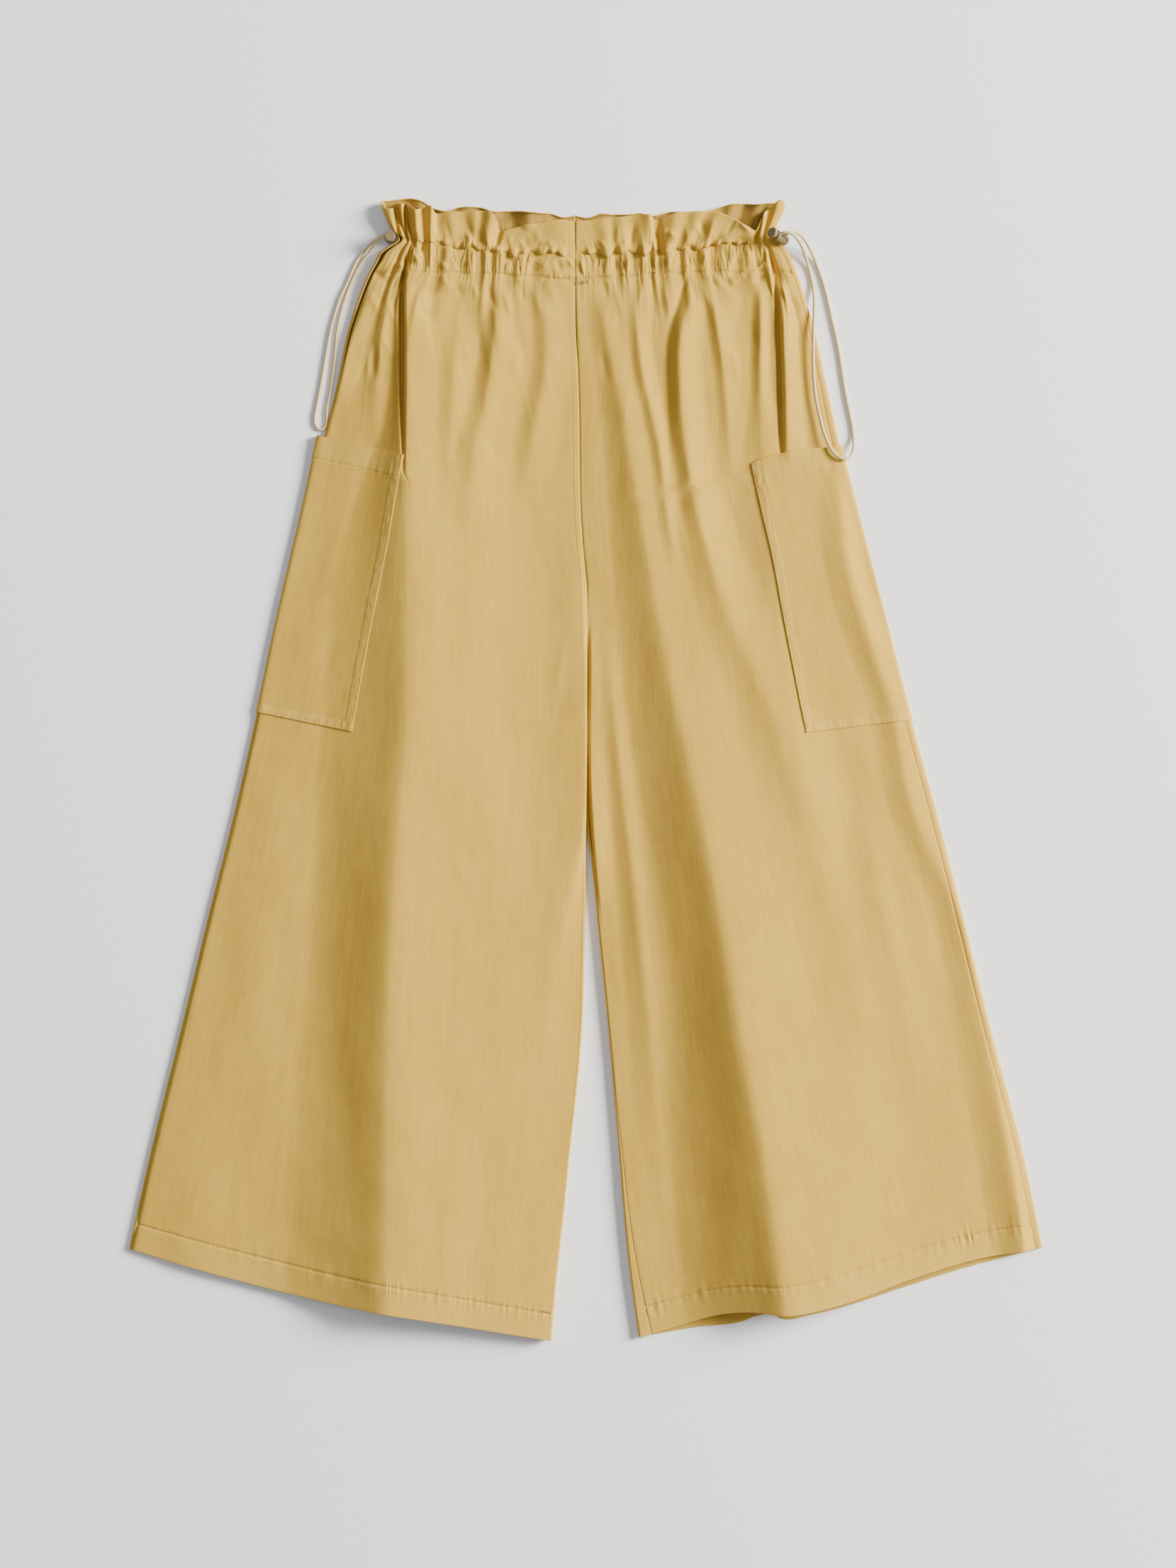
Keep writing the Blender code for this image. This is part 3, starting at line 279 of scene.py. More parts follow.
# Small creases: start x, y; end x, y; height; half width
CREASES = {
    Side.LEFT: (
        (-122, 369, -92, 383, 2.4, 3.2), (-126, 362, -98, 375, -1.6, 3.6),
        (-122, 391, -131, 377, 2.2, 2.4), (-133, 362, -117, 348, -1.4, 4),
        (-160, 379, -146, 396, 2.4, 2.6), (-166, 388, -152, 378, -2.2, 2.8),
        (-64, 374, -57, 350, 1.5, 2.4), (-77, 378, -68, 354, -1.7, 2.8),
        (-42, 378, -33, 350, 1.3, 2.8), (-104, 240, -96, 262, -1, 5), (-88, 226, -74, 252, 1.2, 6),
        (-94, 430, -85, 406, -1.8, 3), (-80, 427, -75, 407, 1.2, 2.4),
        (-59.5, 417, -58, 404, 1.4, 1.6), (-48, 415, -44.5, 402, -1.3, 2),
        (-108, 426, -104, 407, -1.6, 2.2), (-118, 422, -113, 403, 1.5, 1.6),
        (-30, 413, -25, 401, 1.2, 1.8), (-148, 396, -136, 384, 2, 1.8),
        (-143, 399, -133, 391, -1.6, 1.6), (-134, 402, -127, 390, 1.8, 1.6),
        (-152, 372, -141, 388, -1.6, 2.2), (-169, 372, -158, 352, 1.2, 3),
        (-112, 386, -106, 372, 1.4, 1.8), (-101, 379, -95, 366, -1.2, 2),
        (-88, 381, -84, 364, 1.3, 1.8), (-52, 380, -47, 362, -1.2, 2), (-28, 379, -24, 362, 1, 1.8),
        (-154, 366, -147, 344, 1.4, 2.4), (-160, 340, -150, 322, 1, 3),
        (-178, 300, -168, 322, -1, 4), (-57, 300, -50, 330, 0.8, 5), (-24, 60, -16, 100, 0.9, 5),
        (-30, 20, -14, 62, -0.8, 5), (-14.5, 398, -9, 389, 1.5, 1.3),
        (-93, 418, -86, 404, 1.6, 1.8), (-104, 412, -98, 402, -1.5, 1.6),
        (-40, 420, -32, 404, 1.3, 1.8), (-78, 414, -72, 403, 1.6, 1.4),
        (-53, 410, -49, 401, -1.5, 1.4), (-113, 396, -107, 387, 1.5, 1.5),
        (-93, 396, -96, 384, -1.5, 1.4), (-59, 397, -62, 384, 1.6, 1.4),
        (-44, 396, -41, 384, -1.4, 1.5), (-31, 396, -34, 385, 1.4, 1.3),
        (-22, 397, -19, 386, -1.3, 1.4)),
    Side.RIGHT: (
        (95, 387, 108, 374, 2, 2), (111, 376, 126, 390, 2.2, 2.2), (105, 381, 119, 371, -1.7, 2),
        (126, 382, 144, 398, 2.4, 2), (130, 378, 146, 389, -2, 1.9),
        (140, 385, 146, 360, -2.2, 2.4), (60, 380, 66, 350, 1.5, 2.6), (22, 378, 29, 350, 1.2, 2.8),
        (198, 230, 187, 247, 1, 2.4), (208, 120, 197, 136, 1.1, 2.4), (262, 96, 270, 120, 0.8, 2.6),
        (57, 416, 64, 419, 1.6, 1.4), (63, 419, 72, 410, 1.7, 1.4), (88, 429, 94, 410, -1.9, 2.6),
        (117, 429, 108, 413, -2.2, 2), (38, 426, 34, 403, -1.7, 2.2), (26, 424, 23, 403, 1.3, 2),
        (77, 426, 80, 403, 1.3, 2.2), (14, 381, 17, 364, -1.3, 2), (44, 380, 41, 358, 1.4, 2),
        (82, 381, 86, 360, -1.4, 2.2), (90, 379, 97, 356, 1.2, 2.4), (150, 378, 158, 362, 1.5, 2.2),
        (156, 372, 166, 352, -1.2, 2.6), (70, 200, 82, 160, 0.9, 4.5),
        (100, 170, 88, 210, -0.9, 4.5), (120, 300, 112, 330, 0.9, 4), (12, 330, 18, 296, -1, 3.6),
        (32, 300, 30, 262, 0.9, 4), (128, 350, 134, 322, -0.9, 3), (-5, 398, -1, 384, 1.4, 1.3),
        (10, 412, 17, 404, 1.5, 1.6), (22, 398, 25, 386, -1.6, 1.4), (34, 398, 31, 386, 1.6, 1.3),
        (51, 398, 54, 385, -1.8, 1.4), (66, 400, 63, 388, 1.5, 1.3), (78, 402, 82, 390, -1.6, 1.3),
        (95, 404, 91, 391, 1.6, 1.4), (106, 406, 110, 393, -1.7, 1.4),
        (118, 408, 114, 394, 1.7, 1.4), (124, 412, 131, 398, -1.8, 1.4),
        (84, 424, 92, 412, 1.4, 1.8), (100, 428, 94, 409, 1.3, 2.2),
        (119, 424, 127, 417, 1.8, 1.3)),
}

# Cord loops: centre line from one end in the lock to the other, x, y, z
CORD_ROUTES = {
    Side.LEFT: (
        (-155.1, 413.7, 9.2), (-157.6, 413.9, 9.2), (-161.3, 412.7, 7.4), (-166, 409.2, 4.4),
        (-170.8, 404.8, 2), (-175.2, 399.4, 1.35), (-179.6, 392.2, 1.3), (-185.6, 378.2, 1.3),
        (-191.4, 365.6, 1.3), (-197.6, 345, 1.3), (-201.8, 322.6, 1.3), (-205.6, 300.6, 1.3),
        (-209.2, 282, 1.3), (-210.7, 272.5, 1.3), (-209, 266.6, 1.3), (-205.6, 264.8, 1.3),
        (-202.3, 266.9, 1.3), (-201.2, 272.5, 1.3), (-201, 281, 1.3), (-197.6, 300.6, 1.3),
        (-195, 322.6, 1.3), (-192.6, 344.6, 1.3), (-187, 366, 1.3), (-180.6, 382.6, 1.3),
        (-174.8, 393.4, 1.5), (-169.4, 400.6, 3.4), (-164.6, 406.2, 7), (-160.8, 411.4, 11.2),
        (-157.6, 413.8, 12.9), (-155.1, 413.7, 12.85)),
    Side.RIGHT: (
        (150.55, 414.36, 19.61), (153.4, 415.4, 21.2), (157.6, 415.2, 21.6), (161.8, 413, 19.4),
        (165.4, 409.6, 14), (168.4, 405, 8.6), (170.8, 399.4, 4.6), (173, 392.4, 2.1),
        (174.8, 385.6, 1.4), (176.4, 378, 1.6), (177.6, 367, 3.6), (177.4, 354, 7.2),
        (176.8, 340, 9.4), (176.6, 317.1, 9.8), (178.2, 291.8, 9.8), (183.2, 268, 10),
        (187.6, 254.5, 10.8), (192.2, 246.6, 11), (197.8, 242.2, 10.8), (202.6, 241.6, 10.2),
        (206.4, 244.6, 7.8), (208.2, 250.6, 4.6), (208.3, 258.5, 1.9), (207.2, 268, 1.3),
        (204.6, 281, 1.3), (201.4, 297, 1.3), (196.9, 326, 1.3), (191.6, 350.5, 1.3),
        (186, 374.5, 1.3), (179.6, 393.6, 1.6), (175.6, 402.2, 4.2), (171.4, 409.4, 9),
        (166.4, 414.6, 14), (161.2, 416.6, 17.2), (156.6, 415.1, 18.6), (152.73, 413.4, 16.77)),
}


def smoothstep(share: Array) -> Array:
    """Ease from 0 to 1: 3 s^2 - 2 s^3, with s held between 0 and 1.

    Args:
        share: Places on the way.

    Returns:
        The eased values.
    """
    share = np.clip(share, 0.0, 1.0)
    return share * share * (3.0 - 2.0 * share)


def hermite(knots: Array, values: Array, key: Array) -> Array:
    """Smooth curve through knots: a cubic on each span, its slopes by differences.

    Args:
        knots: Rising places of the known values.
        values: Values at the knots.
        key: Places to read.

    Returns:
        The curve at each key, held at the ends.
    """
    knots = np.asarray(knots, dtype=float)
    values = np.asarray(values, dtype=float)
    slope = np.gradient(values, knots)
    key = np.clip(key, knots[0], knots[-1])
    span = np.clip(np.searchsorted(knots, key) - 1, 0, len(knots) - 2)
    width = knots[span + 1] - knots[span]
    t = (key - knots[span]) / width
    return ((1 + 2 * t) * (1 - t) ** 2 * values[span] + t * (1 - t) ** 2 * width * slope[span]
            + t * t * (3 - 2 * t) * values[span + 1] + t * t * (t - 1) * width * slope[span + 1])


def column_of(table: Sequence[Sequence[float]], column: int, key: Array) -> Array:
    """Column of a table on a smooth curve over its first column.

    Args:
        table: Rows, the key first.
        column: Which column to read.
        key: Places to read.

    Returns:
        The column's value at each key.
    """
    data = np.array(table, dtype=float)
    return hermite(data[:, 0], data[:, column], key)


def uneven_wave(share: Array, count: float, seed: float) -> Array:
    """Sine of uneven wave length: its phase wanders by two slower sines.

    Args:
        share: Places from 0 to 1.
        count: Waves over the whole.
        seed: Shift that makes one run of waves unlike another.

    Returns:
        Values from -1 to 1.
    """
    wander = 0.016 * np.sin(2 * np.pi * 4.3 * share + seed)
    wander = wander + 0.009 * np.sin(2 * np.pi * 10.7 * share + 2.3 * seed)
    return np.sin(2 * np.pi * count * (share + wander) + 1.7 * seed)


def bell(distance: Array, width: float) -> Array:
    """Bell curve exp(-(d / w)^2)."""
    return np.exp(-(distance / width) ** 2)


def run_along(points: Array, axis: int = 0) -> Array:
    """Length of the way from the first point: the sum of the steps along an axis.

    Args:
        points: Line or grid of points, the last axis x, y, z.
        axis: Axis to go along.

    Returns:
        Length at each point, 0 at the first.
    """
    step = np.linalg.norm(np.diff(points, axis=axis), axis=-1)
    start = np.zeros_like(np.take(step, [0], axis=axis))
    return np.concatenate((start, np.cumsum(step, axis=axis)), axis=axis)


def read_line(run: Array, line: Array, stops: Array) -> Array:
    """Points of a line at given runs, straight between its own points."""
    return np.stack([np.interp(stops, run, line[:, n]) for n in range(3)], axis=-1)


def read_along(run: Array, stop: Array, grid: Array) -> Array:
    """Values of a grid at a given run along each of its rows, straight between columns.

    Args:
        run: Rising run of each row, rows by columns.
        stop: Where to read each row.
        grid: Rows by columns by 3.

    Returns:
        Rows by 3.
    """
    row = np.arange(len(run))
    after = np.clip(np.sum(run < stop[:, None], axis=1), 1, run.shape[1] - 1)
    low, high = run[row, after - 1], run[row, after]
    share = ((stop - low) / np.maximum(high - low, 1e-9))[:, None]
    return grid[row, after - 1] + (grid[row, after] - grid[row, after - 1]) * share


def grid_normals(points: Array) -> Array:
    """Unit normals of a grid: the cross product of its two central differences.

    Args:
        points: Rows by columns by 3.

    Returns:
        Normals of the same shape.
    """
    along = np.gradient(points, axis=0)
    across = np.gradient(points, axis=1)
    normal = np.cross(across, along)
    length = np.linalg.norm(normal, axis=2, keepdims=True)
    return normal / np.maximum(length, 1e-9)


def grid_mesh(name: str, points: Array, uv: Array, flip: bool,
              tint: Optional[Array] = None, pucker: Optional[Array] = None) -> Piece:
    """Object of one grid of quads, with its own UV map in metres.

    Args:
        name: Name of the piece.
        points: Rows by columns by 3, in millimetres.
        uv: Rows by columns by 2, in metres of cloth.
        flip: True where the faces have to turn over to point outwards.
        tint: Optional rows by columns of pale wear up to 1, and of painted shade down to -1.
        pucker: Optional rows by columns of crinkling, from 0 to 1.

    Returns:
        The object, at the origin.
    """
    rows, columns = points.shape[:2]
    corner = np.arange(rows * columns).reshape(rows, columns)
    loop = (corner[:-1, :-1], corner[:-1, 1:], corner[1:, 1:], corner[1:, :-1])
    quads = np.stack(loop[::-1] if flip else loop, axis=-1).reshape(-1, 4)
    data = bpy.data.meshes.new(name)
    data.vertices.add(rows * columns)
    data.vertices.foreach_set("co", (points * MM).astype(np.float32).ravel())
    data.loops.add(quads.size)
    data.loops.foreach_set("vertex_index", quads.astype(np.int32).ravel())
    data.polygons.add(len(quads))
    data.polygons.foreach_set("loop_start", np.arange(0, quads.size, 4, dtype=np.int32))
    data.polygons.foreach_set("use_smooth", np.ones(len(quads), dtype=bool))
    data.update(calc_edges=True)
    data.validate()
    layer = data.uv_layers.new(name="UVMap")
    layer.data.foreach_set("uv", uv.reshape(-1, 2)[quads.ravel()].astype(np.float32).ravel())
    for label, values in (("wear_and_painted_shade", tint), ("pucker", pucker)):
        values = np.zeros(rows * columns) if values is None else values.ravel()
        layer = data.attributes.new(label, "FLOAT", "POINT")
        layer.data.foreach_set("value", values.astype(np.float32))
    item = bpy.data.objects.new(name, data)
    bpy.context.scene.collection.objects.link(item)
    return item


def settle(item: Piece, material: Material,
           nodes: Iterable[str] = ()) -> Piece:
    """Dress a piece, tie it to the body, and let it stand for its nodes.

    Args:
        item: The piece.
        material: Its finish.
        nodes: Names of the plain solids that it stands for.

    Returns:
        The piece.
    """
    item.data.materials.clear()
    item.data.materials.append(material)
    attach(item, "root")
    nodes = tuple(nodes)
    if nodes:
        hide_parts(*nodes)
    LOG.info("%s: %d faces", item.name, len(getattr(item.data, "polygons", ())))
    return item


def toned(colour: Sequence[float], gain: float) -> tuple[float, ...]:
    """A colour made darker or paler by a factor, still opaque."""
    return tuple(gain * channel for channel in colour[:3]) + (1.0,)


def thicken(item: Piece, thickness: float) -> bpy.types.Modifier:
    """Give a cloth its thickness, to its inside.

    Args:
        item: The piece.
        thickness: Thickness in millimetres.

    Returns:
        The modifier.
    """
    solid = item.modifiers.new("thickness", "SOLIDIFY")
    solid.thickness = thickness * MM
    solid.offset = -1.0
    return solid


class NodeDesk:
    """Small helper that lays out the nodes of one material."""

    def __init__(self, name: str) -> None:
        """Start an empty Principled material.

        Args:
            name: Name of the material.
        """
        self.material = bpy.data.materials.new(name)
        self.material.use_nodes = True
        self.tree = self.material.node_tree
        self.shader = self.tree.nodes["Principled BSDF"]
        self.normal: Optional[Socket] = None

    def add(self, kind: str, **settings: object) -> bpy.types.Node:
        """Add a node and set its properties.

        Args:
            kind: Type name of the node.
            settings: Properties by name.

        Returns:
            The node.
        """
        node = self.tree.nodes.new(kind)
        for key, value in settings.items():
            setattr(node, key, value)
        return node

    def link(self, source: Socket, target: Socket) -> None:
        """Join two sockets."""
        self.tree.links.new(source, target)

    def put(self, value: object, socket: Socket) -> None:
        """Give a socket a link where the value is a socket, or else the value itself.

        Args:
            value: Value or socket.
            socket: The socket that takes it.
        """
        if isinstance(value, Socket):
            self.link(value, socket)
        else:
            socket.default_value = value

    def math(self, operation: str, first: object, second: object = 0.0) -> Socket:
        """Math node of two values or sockets.

        Args:
            operation: Name of the operation.
            first: Value or socket.
            second: Value or socket.

        Returns:
            The result's socket.
        """
        node = self.add("ShaderNodeMath", operation=operation)
        self.put(first, node.inputs[0])
        self.put(second, node.inputs[1])
        return node.outputs[0]

    def noise(self, where: Socket, scale: Sequence[float],
              detail: float = 2.0) -> Socket:
        """Noise on scaled coordinates.

        Args:
            where: Coordinates.
            scale: Scale along each axis, per metre.
            detail: Octaves.

        Returns:
            Values about 0.5.
        """
        mapping = self.add("ShaderNodeMapping")
        mapping.inputs["Scale"].default_value = tuple(scale)
        self.link(where, mapping.inputs["Vector"])
        noise = self.add("ShaderNodeTexNoise")
        noise.inputs["Scale"].default_value = 1.0
        noise.inputs["Detail"].default_value = detail
        self.link(mapping.outputs["Vector"], noise.inputs["Vector"])
        return noise.outputs["Fac"]

    def ramp(self, value: Socket, low: float, high: float, bottom: float,
             top: float) -> Socket:
        """Map Range node, held at its ends.

        Args:
            value: What to map.
            low: Value that becomes the bottom.
            high: Value that becomes the top.
            bottom: Result at low.
            top: Result at high.

        Returns:
            The result's socket.
        """
        node = self.add("ShaderNodeMapRange")
        self.link(value, node.inputs["Value"])
        for name, number in zip(("From Min", "From Max", "To Min", "To Max"),
                                (low, high, bottom, top)):
            node.inputs[name].default_value = number
        return node.outputs["Result"]

    def mix(self, share: object, first: object, second: object) -> Socket:
        """Mix of two colours.

        Args:
            share: How much of the second, a value or socket.
            first: Colour or socket.
            second: Colour or socket.

        Returns:
            The mixed colour.
        """
        node = self.add("ShaderNodeMix", data_type="RGBA")
        for place, value in ((0, share), (6, first), (7, second)):
            self.put(value, node.inputs[place])
        return node.outputs[2]

    def bump(self, height: Socket, distance: float, strength: float) -> None:
        """Bump on the shader's normal, over any bump before it.

        Args:
            height: Height of the bump.
            distance: How far a height of one stands up, in metres.
            strength: Share of the bump that is used.
        """
        node = self.add("ShaderNodeBump")
        if self.normal is not None:
            self.link(self.normal, node.inputs["Normal"])
        self.normal = node.outputs["Normal"]
        node.inputs["Distance"].default_value = distance
        node.inputs["Strength"].default_value = strength
        self.link(height, node.inputs["Height"])
        self.link(self.normal, self.shader.inputs["Normal"])

    def set(self, **sockets: object) -> None:
        """Set the shader's own sockets by name, with _ for a space."""
        for key, value in sockets.items():
            self.shader.inputs[key.replace("_", " ")].default_value = value


@dataclass(frozen=True)
class CottonFinish:
    """Washed plain-weave cotton, slubbed along the warp."""

    name: str = "ochre_cotton"
    base: tuple = (0.560, 0.338, 0.042, 1.0)
    deep: tuple = (0.480, 0.282, 0.034, 1.0)
    pale: tuple = (0.620, 0.395, 0.078, 1.0)
    # Painted shade: dark colour mixed in where the wear_and_painted_shade attribute is below zero
    shade: tuple = (0.120, 0.070, 0.014, 1.0)
    roughness: float = 0.9
    sheen: float = 0.03
    crinkle: tuple = (125.0, 27.0, 1.0)
    crinkle_depth: float = 0.00075

    def material(self) -> Material:
        """Streaks, blotches, pale worn edges, painted edge shade, fine weave, crinkles where drawn
        up.

        Returns:
            The material.
        """
        desk = NodeDesk(self.name)
        uv = desk.add("ShaderNodeUVMap", uv_map="UVMap").outputs["UV"]
        warp = desk.noise(uv, (1300.0, 26.0, 1.0), 3.0)
        slub = desk.noise(uv, (360.0, 9.0, 1.0), 2.0)
        weft = desk.noise(uv, (40.0, 1300.0, 1.0), 2.0)
        blotch = desk.noise(uv, (30.0, 12.0, 1.0), 3.0)
        grain = desk.noise(uv, (2100.0, 2100.0, 1.0), 1.0)
        streak = desk.math("ADD", desk.math("MULTIPLY", warp, 0.44),
                           desk.math("MULTIPLY", weft, 0.22))
        streak = desk.math("ADD", streak, desk.math("MULTIPLY", slub, 0.34))
        speck = desk.noise(uv, (760.0, 520.0, 1.0), 2.0)
        mottle = desk.noise(uv, (110.0, 60.0, 1.0), 2.0)
        streak = desk.math("ADD", desk.math("MULTIPLY", streak, 0.62),
                           desk.math("MULTIPLY", speck, 0.20))
        streak = desk.math("ADD", streak, desk.math("MULTIPLY", mottle, 0.18))
        colour = desk.mix(desk.ramp(streak, 0.42, 0.58, 0.0, 1.0), self.deep, self.base)
        colour = desk.mix(desk.ramp(blotch, 0.38, 0.72, 0.0, 0.20), colour, self.pale)
        wear_and_painted_shade = desk.add("ShaderNodeAttribute", attribute_name="wear_and_painted_shade").outputs["Fac"]
        faded = desk.ramp(wear_and_painted_shade, 0.0, 1.0, 0.0, 0.55)
        colour = desk.mix(faded, colour, self.pale)
        # Below zero the attribute paints shade, the dark line along the pockets' side edges
        colour = desk.mix(desk.ramp(wear_and_painted_shade, -1.0, 0.0, 0.8, 0.0), colour, self.shade)
        desk.link(colour, desk.shader.inputs["Base Color"])
        desk.bump(desk.noise(uv, (52.0, 15.0, 1.0), 3.0), 0.0011, 0.6)
        height = desk.math("ADD", desk.math("MULTIPLY", streak, 0.7),
                           desk.math("MULTIPLY", grain, 0.5))
        desk.bump(height, 0.00025, 0.35)
        pucker = desk.add("ShaderNodeAttribute", attribute_name="pucker").outputs["Fac"]
        fold = desk.math("ABSOLUTE", desk.math("SUBTRACT", desk.noise(uv, self.crinkle, 2.0), 0.5))
        some = desk.ramp(desk.noise(uv, (70.0, 50.0, 1.0), 1.0), 0.40, 0.58, 0.25, 1.0)
        line = desk.math("MULTIPLY", desk.ramp(fold, 0.0, 0.07, 0.0, 1.0), some)
        desk.bump(desk.math("MULTIPLY", line, pucker), self.crinkle_depth, 1.0)
        desk.set(Roughness=self.roughness, Metallic=0.0, Sheen_Weight=self.sheen,
                 Sheen_Roughness=0.45, Specular_IOR_Level=0.18)
        return desk.material


@dataclass(frozen=True)
class ThreadFinish:
    """Sewing thread in the cloth's own colour, a little paler."""

    name: str = "sewing_thread"
    colour: tuple = (0.560, 0.345, 0.062, 1.0)

    def material(self) -> Material:
        """Twisted thread: fine noise in tone.

        Returns:
            The material.
        """
        desk = NodeDesk(self.name)
        where = desk.add("ShaderNodeTexCoord").outputs["Object"]
        noise = desk.noise(where, (2600.0, 2600.0, 2600.0), 1.0)
        tone = desk.ramp(noise, 0.4, 0.6, 0.0, 1.0)
        colour = desk.mix(tone, toned(self.colour, 0.8), self.colour)
        desk.link(colour, desk.shader.inputs["Base Color"])
        desk.set(Roughness=0.6, Metallic=0.0, Sheen_Weight=0.1)
        return desk.material


@dataclass(frozen=True)
class CordFinish:
    """Round braided elastic cord."""

    name: str = "braided_cord"
    colour: tuple = (0.680, 0.510, 0.235, 1.0)
    strands: float = 8.0
    pitch: float = 0.0036

    def material(self) -> Material:
        """Two sets of strands crossing: products of helical sines over the UV map.

        Returns:
            The material.
        """
        desk = NodeDesk(self.name)
        uv = desk.add("ShaderNodeUVMap", uv_map="UVMap").outputs["UV"]
        parts = desk.add("ShaderNodeSeparateXYZ")
        desk.link(uv, parts.inputs[0])
        around = desk.math("MULTIPLY", parts.outputs["X"], 2 * math.pi * self.strands / 2)
        along = desk.math("MULTIPLY", parts.outputs["Y"], 2 * math.pi / self.pitch * 2)
        one = desk.math("SINE", desk.math("ADD", around, along))
        other = desk.math("SINE", desk.math("SUBTRACT", around, along))
        braid = desk.math("MULTIPLY", one, other)
        # Darker where the braid sinks: painted shade in the grooves between strands
        tone = desk.ramp(braid, -0.9, 0.5, 0.0, 1.0)
        colour = desk.mix(tone, toned(self.colour, 0.8), self.colour)
        desk.link(colour, desk.shader.inputs["Base Color"])
        desk.bump(braid, 0.00015, 0.5)
        desk.set(Roughness=0.62, Metallic=0.0, Sheen_Weight=0.2)
        return desk.material


@dataclass(frozen=True)
class LockFinish:
    """Satin moulded plastic of the cord locks."""

    name: str = "olive_plastic"
    colour: tuple = (0.150, 0.106, 0.038, 1.0)

    def material(self) -> Material:
        """Fine spark-eroded grain over a soft mottle.

        Returns:
            The material.
        """
        desk = NodeDesk(self.name)
        where = desk.add("ShaderNodeTexCoord").outputs["Object"]
        mottle = desk.noise(where, (300.0, 300.0, 300.0), 2.0)
        tone = desk.ramp(mottle, 0.4, 0.65, 0.0, 1.0)
        colour = desk.mix(tone, self.colour, toned(self.colour, 1.18))
        desk.link(colour, desk.shader.inputs["Base Color"])
        desk.bump(desk.noise(where, (4200.0, 4200.0, 4200.0), 1.0), 0.0001, 0.25)
        desk.set(Roughness=0.42, Metallic=0.0, Specular_IOR_Level=0.5)
        return desk.material


@dataclass(frozen=True)
class FloorFinish:
    """Plain pale floor."""

    colour: tuple = (0.90, 0.90, 0.895, 1.0)

    def material(self) -> Material:
        """Matt paint of one tone.

        Returns:
            The material.
        """
        desk = NodeDesk("pale_floor")
        desk.set(Base_Color=self.colour, Roughness=0.9, Specular_IOR_Level=0.1)
        return desk.material


@dataclass(frozen=True)
class Gathering:
    """Sizes of the cloth drawn up round the casing: heights, widths and wave counts."""

    level_run: float = 25.0
    edge_share: float = 0.012
    corner_ridges: float = 0.3
    lean: float = 0.007
    ridges: float = 15.0
    ridge_groups: float = 7.0
    fine_ridges: float = 29.0
    sharpness: float = 0.8
    mean: float = 0.62
    up_groove: tuple = (1.0, 1.1)
    low_groove: tuple = (0.8, 0.9)
    puff: tuple = (0.85, 2.2)
    drop_groove: float = 0.35
    casing: tuple = (1.3, 0.9)
    frill: tuple = (1.3, 0.8)
    frill_fade: float = 5.5
    under: tuple = (1.0, 0.7)
    under_fade: float = 9.0
    scallop: tuple = (1.15, 1.4, 1.7)
    wander: float = 8.0
    up_wander: tuple = (1.1, 6.5)
    low_wander: tuple = (0.7, 8.5)
    hem_waves: tuple = (0.22, 31.0, 0.20, 60.0)
    hem_groove: tuple = (0.60, 0.9)

    def ridge(self, share: Array, count: float, seed: float) -> Array:
        """Narrow ridges |sin|, less their mean."""
        return np.abs(uneven_wave(share, count, seed)) ** self.sharpness - self.mean


